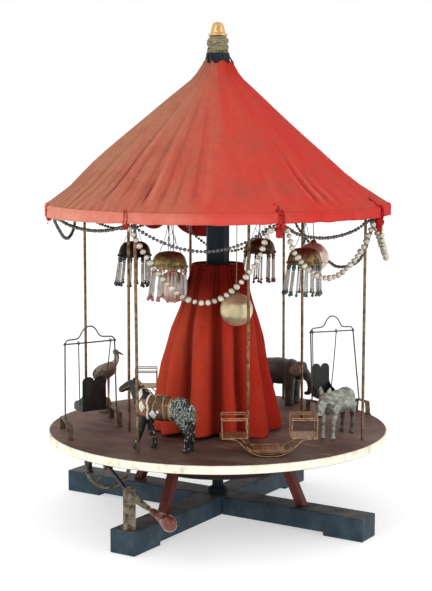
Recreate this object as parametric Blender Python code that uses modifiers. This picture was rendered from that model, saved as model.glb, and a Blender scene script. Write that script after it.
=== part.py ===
"""Hand-cranked toy carousel, built as an assembly of named pieces.

Metres, +Z up. The turning axis is the Z axis, the base beams lie along X and Y,
and the crank stands on the beam end at -Y.
"""
import math
import bmesh
import bpy
from mathutils import Matrix, Vector

for old in list(bpy.data.objects):
    bpy.data.objects.remove(old, do_unlink=True)

# Driving dimensions
GAP = 0.0003
BEAM_W = 0.0405
BEAM_TOP = 0.0328
FOOT_STEP = 0.0050
FOOT_LEN = 0.062
ARM_FRONT = 0.2406
ARM_BACK = 0.2325
ARM_RIGHT = 0.2495
ARM_LEFT = 0.2690
PLATE_Z = 0.0760
FLANGE_Z = 0.0880
DECK_R = 0.250
DECK_TOP = 0.1330
DECK_T = 0.0118
POST_HALF = 0.0150
POST_TOP = 0.6775
HOOP_R = 0.2494
HOOP_LOW = 0.4470
HOOP_TOP = 0.4621
ROD_R = 0.0021
RIB_R = 0.0016
SHAFT_Z = 0.0834
SHAFT_R = 0.0028
SWING_TOP = 0.2596
SWING_FOOT = 0.1530
STAND = DECK_TOP + GAP
RIB_AZIMUTH = (3.8, 51.0, 96.0, 141.0, 184.5, 231.0, 276.0, 319.0)

PARTS = bpy.data.collections.new("toy_carousel")
CUTTERS = bpy.data.collections.new("cutters")
bpy.context.scene.collection.children.link(PARTS)
bpy.context.scene.collection.children.link(CUTTERS)
MATERIALS = {}


def material(name, color, rough, metal=0.0, alpha=1.0):
    mat = bpy.data.materials.new(name)
    mat.use_nodes = True
    bsdf = mat.node_tree.nodes["Principled BSDF"]
    bsdf.inputs["Base Color"].default_value = (*color, 1.0)
    bsdf.inputs["Roughness"].default_value = rough
    bsdf.inputs["Metallic"].default_value = metal
    bsdf.inputs["Alpha"].default_value = alpha
    return mat


PALETTE = {
    "slate_paint": ((0.045, 0.065, 0.085), 0.75, 0.0),
    "red_wood": ((0.16, 0.035, 0.025), 0.6, 0.0),
    "steel": ((0.42, 0.39, 0.33), 0.5, 0.8),
    "dark_iron": ((0.06, 0.055, 0.05), 0.55, 0.7),
    "handle_wood": ((0.28, 0.055, 0.02), 0.3, 0.0),
    "deck_paint": ((0.12, 0.055, 0.045), 0.8, 0.0),
    "post_paint": ((0.02, 0.03, 0.045), 0.6, 0.0),
    "red_cloth": ((0.52, 0.035, 0.02), 0.9, 0.0),
    "brass": ((0.55, 0.36, 0.14), 0.35, 0.9),
    "grey_cord": ((0.22, 0.22, 0.17), 0.85, 0.0),
    "rod_brass": ((0.24, 0.16, 0.09), 0.5, 0.8),
    "horse_paint": ((0.04, 0.045, 0.05), 0.5, 0.0),
    "pewter": ((0.48, 0.47, 0.42), 0.45, 0.6),
    "elephant_paint": ((0.05, 0.04, 0.035), 0.6, 0.0),
    "bird_paint": ((0.22, 0.19, 0.16), 0.7, 0.0),
    "black_sheet": ((0.015, 0.017, 0.017), 0.45, 0.5),
    "wire": ((0.12, 0.12, 0.11), 0.45, 0.8),
    "brass_wire": ((0.30, 0.19, 0.10), 0.45, 0.8),
    "gold_glass": ((0.80, 0.50, 0.10), 0.12, 1.0),
    "silver_glass": ((0.75, 0.62, 0.58), 0.12, 1.0),
    "dark_bead": ((0.05, 0.05, 0.05), 0.25, 0.3),
    "pearl_bead": ((0.62, 0.60, 0.52), 0.22, 0.3),
}
for key, (rgb, rough, metal) in PALETTE.items():
    MATERIALS[key] = material(key, rgb, rough, metal)


def polar(radius, azimuth, z):
    """Azimuth 0 is -Y, 90 is +X."""
    a = math.radians(azimuth)
    return Vector((radius * math.sin(a), -radius * math.cos(a), z))


def finish(name, bm, mat, keep=True):
    bmesh.ops.remove_doubles(bm, verts=bm.verts[:], dist=1e-6)
    bmesh.ops.recalc_face_normals(bm, faces=bm.faces[:])
    mesh = bpy.data.meshes.new(name)
    bm.to_mesh(mesh)
    bm.free()
    ob = bpy.data.objects.new(name, mesh)
    if mat:
        mesh.materials.append(MATERIALS[mat])
    if keep:
        PARTS.objects.link(ob)
    else:
        CUTTERS.objects.link(ob)
        ob.hide_render = True
        ob.display_type = "WIRE"
    return ob


def prism(name, outline, origin, u, v, w, depth, mat, keep=True):
    """A flat outline in the directions u and v, pushed by depth along w, centred."""
    bm = bmesh.new()
    o, u, v, w = Vector(origin), Vector(u), Vector(v), Vector(w).normalized()
    low = [bm.verts.new(o + u * a + v * b - w * depth / 2) for a, b in outline]
    high = [bm.verts.new(o + u * a + v * b + w * depth / 2) for a, b in outline]
    bm.faces.new(low)
    bm.faces.new(high)
    n = len(outline)
    for i in range(n):
        bm.faces.new((low[i], low[(i + 1) % n], high[(i + 1) % n], high[i]))
    return finish(name, bm, mat, keep)


def box(name, centre, size, turn=0.0, mat=None, keep=True):
    c, s = math.cos(math.radians(turn)), math.sin(math.radians(turn))
    hx, hy = size[0] / 2, size[1] / 2
    outline = [(-hx, -hy), (hx, -hy), (hx, hy), (-hx, hy)]
    return prism(name, outline, centre, (c, s, 0), (-s, c, 0), (0, 0, 1), size[2], mat, keep)


def turned(name, profile, mat, centre=(0, 0, 0), axis=(0, 0, 1), steps=32, keep=True):
    """Revolves (radius, height) points about an axis; a closed profile makes a ring."""
    bm = bmesh.new()
    turn = Vector((0, 0, 1)).rotation_difference(Vector(axis)).to_matrix().to_4x4()
    turn = Matrix.Translation(Vector(centre)) @ turn
    rows = []
    for r, h in profile:
        if r < 1e-7:
            rows.append([bm.verts.new(turn @ Vector((0, 0, h)))] * steps)
            continue
        row = []
        for i in range(steps):
            a = 2 * math.pi * i / steps
            row.append(bm.verts.new(turn @ Vector((r * math.cos(a), r * math.sin(a), h))))
        rows.append(row)
    closed = profile[0][0] > 1e-7 or profile[-1][0] > 1e-7
    count = len(rows) if closed else len(rows) - 1
    for k in range(count):
        a, b = rows[k], rows[(k + 1) % len(rows)]
        for i in range(steps):
            j = (i + 1) % steps
            corners = []
            for vert in (a[i], a[j], b[j], b[i]):
                if vert not in corners:
                    corners.append(vert)
            if len(corners) > 2:
                bm.faces.new(corners)
    return finish(name, bm, mat, keep)


def tube(name, points, radius, mat=None, sides=8, closed=False, keep=True):
    """A round bar along straight runs, with one radius or one for each point."""
    bm = bmesh.new()
    pts = [Vector(p) for p in points]
    n = len(pts)
    radii = radius if isinstance(radius, (list, tuple)) else [radius] * n
    normal = None
    rows = []
    for i, p in enumerate(pts):
        before = pts[(i - 1) % n] if closed or i > 0 else p
        after = pts[(i + 1) % n] if closed or i < n - 1 else p
        a = (p - before).normalized() if (p - before).length > 0 else (after - p).normalized()
        b = (after - p).normalized() if (after - p).length > 0 else a
        tangent = (a + b).normalized()
        stretch = 1.0 / max(0.45, tangent.dot(b))
        bend = (b - a)
        if normal is None:
            guide = Vector((0, 0, 1)) if abs(tangent.z) < 0.9 else Vector((1, 0, 0))
            normal = tangent.cross(guide).normalized()
            last = tangent
        normal = last.rotation_difference(tangent) @ normal
        normal = (normal - tangent * normal.dot(tangent)).normalized()
        last = tangent
        side = tangent.cross(normal)
        bend = bend.normalized() if bend.length > 1e-6 else None
        row = []
        for k in range(sides):
            t = 2 * math.pi * k / sides
            offset = (normal * math.cos(t) + side * math.sin(t)) * radii[i]
            if bend:
                offset += bend * offset.dot(bend) * (stretch - 1.0)
            row.append(bm.verts.new(p + offset))
        rows.append(row)
    for i in range(n if closed else n - 1):
        a, b = rows[i], rows[(i + 1) % n]
        for k in range(sides):
            m = (k + 1) % sides
            bm.faces.new((a[k], a[m], b[m], b[k]))
    if not closed:
        bm.faces.new(rows[0])
        bm.faces.new(rows[-1])
    return finish(name, bm, mat, keep)


def ball(name, centre, size, forward=(1, 0, 0), mat=None, keep=True, u=12, v=8):
    """An egg shape: size gives the half-lengths forward, sideways and up."""
    bm = bmesh.new()
    f = Vector(forward).normalized()
    s = Vector((0, 0, 1)).cross(f).normalized()
    t = f.cross(s)
    rot = Matrix((f, s, t)).transposed().to_4x4()
    mat4 = Matrix.Translation(Vector(centre)) @ rot @ Matrix.Diagonal((*size, 1.0))
    bmesh.ops.create_uvsphere(bm, u_segments=u, v_segments=v, radius=1.0, matrix=mat4)
    return finish(name, bm, mat, keep)


def fuse(name, mat, pieces):
    """Joins overlapping closed shapes into one body."""
    base = pieces[0]
    for other in pieces[1:]:
        mod = base.modifiers.new("join", "BOOLEAN")
        mod.operation = "UNION"
        mod.solver = "EXACT"
        mod.object = other
        other.hide_render = True
        other.display_type = "WIRE"
    base.name = name
    base.data.name = name
    base.hide_render = False
    base.display_type = "TEXTURED"
    CUTTERS.objects.unlink(base)
    PARTS.objects.link(base)
    base.data.materials.append(MATERIALS[mat])
    return base


def cut(target, cutter):
    mod = target.modifiers.new("hole", "BOOLEAN")
    mod.operation = "DIFFERENCE"
    mod.solver = "EXACT"
    mod.object = cutter


def soften(ob, width, segments=1):
    mod = ob.modifiers.new("edges", "BEVEL")
    mod.width = width
    mod.segments = segments
    mod.limit_method = "ANGLE"
    mod.angle_limit = math.radians(40)


# Base beams, lapped where they cross
MID = (FOOT_STEP + BEAM_TOP) / 2
NOTCH = BEAM_W / 2 + 0.00025
crank_side = [
    (-ARM_FRONT, 0), (-ARM_FRONT + FOOT_LEN, 0), (-ARM_FRONT + FOOT_LEN, FOOT_STEP),
    (ARM_BACK - FOOT_LEN, FOOT_STEP), (ARM_BACK - FOOT_LEN, 0), (ARM_BACK, 0),
    (ARM_BACK, BEAM_TOP), (NOTCH, BEAM_TOP), (NOTCH, MID - GAP / 2),
    (-NOTCH, MID - GAP / 2), (-NOTCH, BEAM_TOP), (-ARM_FRONT, BEAM_TOP)]
beam_crank = prism("beam_crank", crank_side, (0, 0, 0), (0, 1, 0), (0, 0, 1), (1, 0, 0), BEAM_W, "slate_paint")
cross_side = [
    (-ARM_LEFT, 0), (-ARM_LEFT + FOOT_LEN, 0), (-ARM_LEFT + FOOT_LEN, FOOT_STEP),
    (-NOTCH, FOOT_STEP), (-NOTCH, MID + GAP / 2), (NOTCH, MID + GAP / 2), (NOTCH, FOOT_STEP),
    (ARM_RIGHT - FOOT_LEN, FOOT_STEP), (ARM_RIGHT - FOOT_LEN, 0), (ARM_RIGHT, 0),
    (ARM_RIGHT, BEAM_TOP), (-ARM_LEFT, BEAM_TOP)]
beam_cross = prism("beam_cross", cross_side, (0, 0, 0), (1, 0, 0), (0, 0, 1), (0, 1, 0), BEAM_W, "slate_paint")
soften(beam_crank, 0.0010)
soften(beam_cross, 0.0010)

# Four leaning legs under the bearing plate
for leg, azimuth, foot in (("leg_front", 0, 0.143), ("leg_right", 90, 0.143),
                           ("leg_back", 180, 0.143), ("leg_left", 270, 0.143)):
    out = polar(1, azimuth, 0)
    side = Vector((0, 0, 1)).cross(out)
    low, high = BEAM_TOP + GAP, FLANGE_Z - GAP
    lean = 0.0265
    half = 0.0068
    slab = [(foot - half, low), (foot + half, low), (foot + half - lean, high), (foot - half - lean, high)]
    ob = prism(leg, slab, (0, 0, 0), out, (0, 0, 1), side, 0.0135, "red_wood")
    soften(ob, 0.0008)

# Bearing plate with its bore, and the spindle standing on the crossing
plate_profile = [
    (0.0086, PLATE_Z), (0.1010, PLATE_Z), (0.1050, PLATE_Z + 0.003), (0.1050, FLANGE_Z),
    (0.1285, FLANGE_Z), (0.1300, FLANGE_Z + 0.002), (0.1300, 0.0960), (0.1285, 0.0980), (0.0086, 0.0980)]
turned("bearing_plate", plate_profile, "red_wood", steps=40)
spindle_profile = [
    (0.0, BEAM_TOP + GAP), (0.0140, BEAM_TOP + GAP), (0.0140, 0.0390), (0.0083, 0.0420),
    (0.0083, 0.0983), (0.0060, 0.0990), (0.0060, 0.1170), (0.0, 0.1170)]
turned("spindle", spindle_profile, "steel", steps=20)

# Crank shaft line: a chord from the crank arm's end to the left arm's end
SHAFT_FROM = Vector((0.0072, -0.2331, SHAFT_Z))
SHAFT_DIR = Vector((-0.7343, 0.6786, 0)).normalized()
ACROSS = Vector((0.6786, 0.7343, 0)).normalized()
UP = Vector((0, 0, 1))


def on_shaft(distance, across=0.0, up=0.0):
    return SHAFT_FROM + SHAFT_DIR * distance + ACROSS * across + UP * up


BRACKET_LOW = BEAM_TOP + GAP - SHAFT_Z
strip = [
    (-0.0085, BRACKET_LOW + 0.0004), (0.0085, BRACKET_LOW + 0.0004), (0.0085, 0.0050), (0.0060, 0.0085),
    (0.0, 0.0100), (-0.0060, 0.0085), (-0.0085, 0.0050)]
upright = prism("crank_bracket", strip, on_shaft(0), ACROSS, UP, SHAFT_DIR, 0.0020, "steel", keep=False)
tab = prism("bracket_tab", [(-0.0080, BRACKET_LOW), (0.0080, BRACKET_LOW), (0.0080, BRACKET_LOW + 0.002),
                            (-0.0080, BRACKET_LOW + 0.002)], on_shaft(0.0075), ACROSS, UP, SHAFT_DIR,
            0.0160, None, keep=False)
bracket = fuse("crank_bracket", "steel", [upright, tab])
bore = turned("bracket_bore", [(0, -0.01), (SHAFT_R + 0.00025, -0.01), (SHAFT_R + 0.00025, 0.01), (0, 0.01)],
              None, centre=on_shaft(0), axis=SHAFT_DIR, steps=16, keep=False)
cut(bracket, bore)

FAR = 0.3370
far_strip = [
    (-0.0060, BRACKET_LOW + 0.0004), (0.0060, BRACKET_LOW + 0.0004), (0.0060, 0.0040), (0.0030, 0.0075),
    (-0.0030, 0.0075), (-0.0060, 0.0040)]
far_up = prism("far_bracket", far_strip, on_shaft(FAR), ACROSS, UP, SHAFT_DIR, 0.0030, None, keep=False)
far_tab = prism("far_tab", [(-0.0055, BRACKET_LOW), (0.0055, BRACKET_LOW), (0.0055, BRACKET_LOW + 0.002),
                            (-0.0055, BRACKET_LOW + 0.002)], on_shaft(FAR - 0.006), ACROSS, UP, SHAFT_DIR,
                0.0150, None, keep=False)
far_bracket = fuse("far_bracket", "dark_iron", [far_up, far_tab])
far_bore = turned("far_bore", [(0, -0.01), (SHAFT_R + 0.00025, -0.01), (SHAFT_R + 0.00025, 0.01), (0, 0.01)],
                  None, centre=on_shaft(FAR), axis=SHAFT_DIR, steps=16, keep=False)
cut(far_bracket, far_bore)

# Crank: shaft, spoked drive wheel, arm and handle
crank_axis = bpy.data.objects.new("crank_axis", None)
crank_axis.location = on_shaft(0)
PARTS.objects.link(crank_axis)


def carried(ob, holder):
    ob.parent = holder
    ob.matrix_parent_inverse = Matrix.Translation(-Vector(holder.location))
    return ob


shaft = turned("crank_shaft", [(0, -0.0100), (SHAFT_R, -0.0100), (SHAFT_R, 0.3450), (0, 0.3450)],
               "dark_iron", centre=on_shaft(0), axis=SHAFT_DIR, steps=14)
carried(shaft, crank_axis)

WHEEL_AT = 0.1590
WHEEL_R = 0.0340
wheel_rim = turned("wheel_rim", [(WHEEL_R, -0.0030), (WHEEL_R - 0.0018, 0.0), (WHEEL_R, 0.0030),
                                 (WHEEL_R - 0.0050, 0.0030), (WHEEL_R - 0.0050, -0.0030)],
                   None, centre=on_shaft(WHEEL_AT), axis=SHAFT_DIR, steps=28, keep=False)
wheel_hub = turned("wheel_hub", [(SHAFT_R + 0.0002, -0.0045), (0.0070, -0.0045), (0.0070, 0.0045),
                                 (SHAFT_R + 0.0002, 0.0045)],
                   None, centre=on_shaft(WHEEL_AT), axis=SHAFT_DIR, steps=16, keep=False)
spokes = []
for k in range(5):
    run = []
    for r, lag in ((0.0058, 0.0), (0.0130, 14.0), (0.0210, 20.0), (0.0298, 12.0)):
        a = math.radians(72 * k + lag)
        run.append(on_shaft(WHEEL_AT, r * math.cos(a), r * math.sin(a)))
    spokes.append(tube("spoke_%d" % k, run, 0.0016, sides=6, keep=False))
wheel = fuse("drive_wheel", "steel", [wheel_hub, wheel_rim] + spokes)
carried(wheel, crank_axis)

ARM_A = on_shaft(-0.0115)
ARM_B = on_shaft(-0.0115, 0.0239, -0.0190)
along = (ARM_B - ARM_A).normalized()
lift = SHAFT_DIR.cross(along)
arm_outline = [
    (-0.0060, -0.0035), (-0.0035, -0.0060), (0.0035, -0.0060), (0.0240, -0.0036), (0.0325, -0.0036),
    (0.0345, 0.0), (0.0325, 0.0036), (0.0240, 0.0036), (0.0035, 0.0060), (-0.0035, 0.0060), (-0.0060, 0.0035)]
arm = prism("crank_arm", arm_outline, ARM_A, along, lift, SHAFT_DIR, 0.0024, "steel")
carried(arm, crank_axis)

HANDLE_FROM = ARM_B - SHAFT_DIR * 0.0021
HANDLE_DIR = Vector((0.820, -0.570, 0)).normalized()
handle_profile = [
    (0.0, 0.0), (0.0033, 0.0), (0.0034, 0.0060), (0.0045, 0.0120), (0.0056, 0.0190), (0.0060, 0.0380),
    (0.0076, 0.0500), (0.0094, 0.0610), (0.0103, 0.0700), (0.0100, 0.0770), (0.0080, 0.0835), (0.0040, 0.0870),
    (0.0, 0.0880)]
handle = turned("crank_handle", handle_profile, "handle_wood", centre=HANDLE_FROM, axis=HANDLE_DIR, steps=16)
carried(handle, crank_axis)

# Turning deck with the pulley under it
carousel_axis = bpy.data.objects.new("carousel_axis", None)
PARTS.objects.link(carousel_axis)
LOW = DECK_TOP - DECK_T
turned("deck", [(0, LOW), (DECK_R - 0.001, LOW), (DECK_R, LOW + 0.001), (DECK_R, DECK_TOP - 0.001),
                (DECK_R - 0.001, DECK_TOP), (0, DECK_TOP)], "deck_paint", steps=72)
turned("deck_pulley", [
    (0.0064, 0.0995), (0.0460, 0.0995), (0.0480, 0.1015), (0.0440, 0.1050), (0.0440, 0.1080),
    (0.0480, 0.1115), (0.0480, LOW - GAP), (0, LOW - GAP), (0, 0.1176), (0.0064, 0.1176)], "red_wood", steps=32)

# Centre post, square with flattened corners
c, h = 0.0078, POST_HALF
post_outline = [(-c, -h), (c, -h), (h, -c), (h, c), (c, h), (-c, h), (-h, c), (-h, -c)]
prism("centre_post", post_outline, (0, 0, (STAND + POST_TOP) / 2), (1, 0, 0), (0, 1, 0), (0, 0, 1),
      POST_TOP - STAND, "post_paint")

# Dark collar that holds the skirt
turned("skirt_collar", [(0.0178, 0.3625), (0.0290, 0.3625), (0.0312, 0.3650), (0.0312, 0.3710),
                        (0.0290, 0.3735), (0.0178, 0.3735)], "dark_iron", steps=28)


def pleated(name, rings, folds, mat, wall):
    """A thin skin of revolution with soft folds; rings are (radius, height, fold depth)."""
    bm = bmesh.new()
    steps = folds * 4
    skins = []
    for inset in (0.0, wall):
        rows = []
        for r, z, depth in rings:
            row = []
            for i in range(steps):
                a = 2 * math.pi * i / steps
                wave = (1.0, 0.0, -1.0, 0.0)[i % 4]
                radius = r + depth * wave - inset
                row.append(bm.verts.new((radius * math.sin(a), -radius * math.cos(a), z)))
            rows.append(row)
        skins.append(rows)
    for rows in skins:
        for a, b in zip(rows, rows[1:]):
            for i in range(steps):
                j = (i + 1) % steps
                bm.faces.new((a[i], a[j], b[j], b[i]))
    for end in (0, -1):
        a, b = skins[0][end], skins[1][end]
        for i in range(steps):
            j = (i + 1) % steps
            bm.faces.new((a[i], a[j], b[j], b[i]))
    return finish(name, bm, mat)


pleated("skirt", [(0.0335, 0.3700, 0.0), (0.0375, 0.3580, 0.0012), (0.0500, 0.3250, 0.003), (0.0690, 0.2700, 0.006),
                  (0.0900, 0.2000, 0.007), (0.1060, 0.1390, 0.007)], 14, "red_cloth", 0.0020)

# Hoop with its cloth band, and the canopy over it
turned("canopy_ring", [(HOOP_R - 0.004, HOOP_LOW), (HOOP_R, HOOP_LOW), (HOOP_R, HOOP_TOP),
                       (HOOP_R - 0.004, HOOP_TOP)], "red_cloth", steps=64)
CANOPY = [(0.2485, 0.4627), (0.2370, 0.4705), (0.2090, 0.4905), (0.1510, 0.5405), (0.1230, 0.5650),
          (0.0780, 0.6050), (0.0370, 0.6400), (0.0225, 0.6620)]
WALL = 0.0020
canopy_profile = CANOPY + [(0.0203, 0.6612), (0.0350, 0.6385), (0.0765, 0.6030), (0.1215, 0.5632),
                           (0.1495, 0.5387), (0.2078, 0.4887), (0.2360, 0.4687), (0.2465, 0.4627)]
turned("canopy", canopy_profile, "red_cloth", steps=48)

# Eight bowed ribs from a collar on the post out to the hoop, as one spider
rib_hub = turned("rib_hub", [(0.0178, 0.6280), (0.0205, 0.6280), (0.0205, 0.6400), (0.0178, 0.6400)],
                 None, steps=24, keep=False)
RIB_LINE = [(0.0195, 0.6350), (0.0360, 0.6310), (0.0760, 0.5985), (0.1210, 0.5590), (0.1490, 0.5345),
            (0.2065, 0.4850), (0.2350, 0.4630), (0.2433, 0.4560)]
ribs = []
for k in range(8):
    run = [polar(r, RIB_AZIMUTH[k], z) for r, z in RIB_LINE]
    ribs.append(tube("rib_%d" % k, run, RIB_R, sides=8, keep=False))
fuse("canopy_ribs", "rod_brass", [rib_hub] + ribs)


def rib_height(radius):
    for (r0, z0), (r1, z1) in zip(RIB_LINE, RIB_LINE[1:]):
        if r0 <= radius <= r1:
            return z0 + (z1 - z0) * (radius - r0) / (r1 - r0)
    return RIB_LINE[-1][1]


# Binding under the finial, and the turned finial
turned("top_binding", [
    (0, POST_TOP + GAP), (0.0145, POST_TOP + GAP), (0.0152, 0.6800), (0.0146, 0.6820), (0.0152, 0.6840),
    (0.0146, 0.6860), (0.0152, 0.6885), (0.0146, 0.6910), (0.0152, 0.6935), (0.0146, 0.6960),
    (0.0150, 0.6985), (0.0140, 0.7010), (0, 0.7010)], "grey_cord", steps=24)
turned("finial", [
    (0, 0.7013), (0.0134, 0.7013), (0.0140, 0.7024), (0.0140, 0.7050), (0.0130, 0.7062), (0.0104, 0.7066),
    (0.0094, 0.7120), (0.0076, 0.7185), (0.0050, 0.7210), (0, 0.7215)], "brass", steps=28)

# Rods from the deck up to the ribs; each foot stands a little off the point under its rib
RODS = [("rod_outer_1", 0, 0.228, 0.2050, 0.5), ("rod_outer_2", 2, 0.228, 0.2260, 96.8),
        ("rod_outer_3", 4, 0.228, 0.2260, 184.0), ("rod_outer_4", 6, 0.228, 0.2300, 275.6),
        ("rod_inner_1", 1, 0.133, 0.1300, 51.0), ("rod_inner_2", 3, 0.133, 0.1350, 141.5),
        ("rod_inner_3", 5, 0.133, 0.1330, 231.0), ("rod_inner_4", 7, 0.133, 0.1350, 319.5)]
for rod, rib, r, foot_r, foot_azimuth in RODS:
    foot = polar(foot_r, foot_azimuth, STAND + 0.0002)
    head = polar(r, RIB_AZIMUTH[rib], rib_height(r) - RIB_R - ROD_R - 0.0010)
    turned(rod, [(0, 0), (ROD_R, 0), (ROD_R, (head - foot).length), (0, (head - foot).length)], "rod_brass",
           centre=foot, axis=(head - foot).normalized(), steps=10)


# Figures: each is built on forward, sideways and up from a point on the deck
class Figure:
    def __init__(self, spot, forward):
        self.spot = Vector((spot[0], spot[1], STAND))
        self.f = Vector((forward[0], forward[1], 0)).normalized()
        self.s = Vector((0, 0, 1)).cross(self.f)
        self.bits = []

    def at(self, f, s, z):
        return self.spot + self.f * f + self.s * s + Vector((0, 0, z))

    def egg(self, f, s, z, size, tip=0.0, u=12, v=8):
        forward = self.f * math.cos(tip) + Vector((0, 0, 1)) * math.sin(tip)
        self.bits.append(ball("egg", self.at(f, s, z), size, forward, keep=False, u=u, v=v))

    def limb(self, points, radii, sides=8):
        self.bits.append(tube("limb", [self.at(*p) for p in points], list(radii), sides=sides, keep=False))

    def done(self, name, mat):
        return fuse(name, mat, self.bits)


horse = Figure((0.0189, -0.1714), (-0.982, -0.187))
horse.egg(-0.002, 0, 0.0560, (0.0360, 0.0145, 0.0170))
horse.egg(-0.027, 0, 0.0560, (0.0175, 0.0150, 0.0175))
horse.limb([(0.022, 0, 0.060), (0.036, 0, 0.074), (0.044, 0, 0.0885)], (0.0130, 0.0095, 0.0070))
horse.limb([(0.040, 0, 0.0890), (0.052, 0, 0.0840), (0.062, 0, 0.0790)], (0.0072, 0.0062, 0.0045))
horse.limb([(0.0405, 0.004, 0.0900), (0.0405, 0.0052, 0.0975)], (0.0026, 0.0010), sides=6)
horse.limb([(0.0405, -0.004, 0.0900), (0.0405, -0.0052, 0.0975)], (0.0026, 0.0010), sides=6)
for side, stride in ((-1, 0.0170), (1, 0.0370)):
    horse.limb([(0.022, side * 0.0075, 0.050), (0.4 * 0.022 + 0.6 * stride, side * 0.0075, 0.026),
                (stride, side * 0.0075, 0.004), (stride, side * 0.0075, 0.0)], (0.0078, 0.0046, 0.0036, 0.0046))
    horse.limb([(-0.032, side * 0.0080, 0.052), (-0.038, side * 0.0080, 0.026), (-0.039, side * 0.0080, 0.004),
                (-0.039, side * 0.0080, 0.0)], (0.0105, 0.0052, 0.0038, 0.0048))
horse.limb([(-0.042, 0, 0.062), (-0.049, 0, 0.050), (-0.051, 0, 0.024)], (0.0036, 0.0042, 0.0022), sides=6)
horse.done("horse", "horse_paint")

donkey = Figure((0.1810, 0.0330), (0.0, -1.0))
donkey.egg(-0.004, 0, 0.0485, (0.0370, 0.0145, 0.0180))
donkey.limb([(0.022, 0, 0.052), (0.036, 0, 0.055), (0.043, 0, 0.060)], (0.0130, 0.0095, 0.0075))
donkey.limb([(0.038, 0, 0.0610), (0.046, 0, 0.0520), (0.052, 0, 0.0400)], (0.0078, 0.0070, 0.0052))
donkey.limb([(0.0385, 0.0045, 0.0640), (0.0370, 0.0065, 0.0760)], (0.0028, 0.0014), sides=6)
donkey.limb([(0.0385, -0.0045, 0.0640), (0.0370, -0.0065, 0.0760)], (0.0028, 0.0014), sides=6)
for side in (-1, 1):
    donkey.limb([(0.022, side * 0.0080, 0.044), (0.026, side * 0.0080, 0.022), (0.027, side * 0.0080, 0.004),
                 (0.027, side * 0.0080, 0.0)], (0.0070, 0.0040, 0.0032, 0.0044))
    donkey.limb([(-0.030, side * 0.0080, 0.046), (-0.033, side * 0.0080, 0.024), (-0.030, side * 0.0080, 0.004),
                 (-0.030, side * 0.0080, 0.0)], (0.0085, 0.0044, 0.0032, 0.0044))
donkey.limb([(-0.039, 0, 0.056), (-0.044, 0, 0.046), (-0.0445, 0, 0.024)], (0.0028, 0.0024, 0.0018), sides=6)
donkey.done("donkey", "pewter")

elephant = Figure((-0.0030, 0.1985), (1.0, 0.04))
elephant.egg(-0.006, 0, 0.0520, (0.0370, 0.0200, 0.0220))
elephant.egg(0.031, 0, 0.0545, (0.0145, 0.0130, 0.0150))
elephant.limb([(0.040, 0, 0.053), (0.0480, 0, 0.041), (0.0505, 0, 0.029), (0.0480, 0, 0.0205), (0.0410, 0, 0.0195)],
              (0.0075, 0.0056, 0.0044, 0.0036, 0.0026))
elephant.egg(0.031, 0.0122, 0.0580, (0.0080, 0.0028, 0.0105), u=10, v=6)
elephant.egg(0.031, -0.0122, 0.0580, (0.0080, 0.0028, 0.0105), u=10, v=6)
for side in (-1, 1):
    elephant.limb([(0.018, side * 0.0110, 0.048), (0.0185, side * 0.0110, 0.020), (0.0185, side * 0.0110, 0.0)],
                  (0.0095, 0.0072, 0.0078))
    elephant.limb([(-0.029, side * 0.0110, 0.048), (-0.030, side * 0.0110, 0.020), (-0.030, side * 0.0110, 0.0)],
                  (0.0105, 0.0072, 0.0078))
elephant.limb([(-0.041, 0, 0.058), (-0.046, 0, 0.046), (-0.047, 0, 0.026)], (0.0024, 0.0020, 0.0018), sides=6)
elephant.done("elephant", "elephant_paint")

stork = Figure((-0.1987, -0.0100), (0.05, 1.0))
stork.limb([(0, 0, 0.0), (0, 0, 0.0030), (0, 0, 0.0070)], (0.0120, 0.0110, 0.0050), sides=12)
for side in (-1, 1):
    stork.limb([(0.0, side * 0.0030, 0.0050), (0.001, side * 0.0036, 0.030), (0.0, side * 0.0042, 0.058)],
               (0.0019, 0.0015, 0.0022), sides=6)
stork.egg(-0.002, 0, 0.0640, (0.0235, 0.0120, 0.0120), tip=0.25)
stork.limb([(0.014, 0, 0.069), (0.025, 0, 0.078), (0.026, 0, 0.086), (0.022, 0, 0.091)],
           (0.0068, 0.0042, 0.0036, 0.0042))
stork.limb([(0.0215, 0, 0.0915), (0.031, 0, 0.0885), (0.043, 0, 0.0835)], (0.0040, 0.0024, 0.0010), sides=6)
stork.done("stork", "bird_paint")


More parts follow.
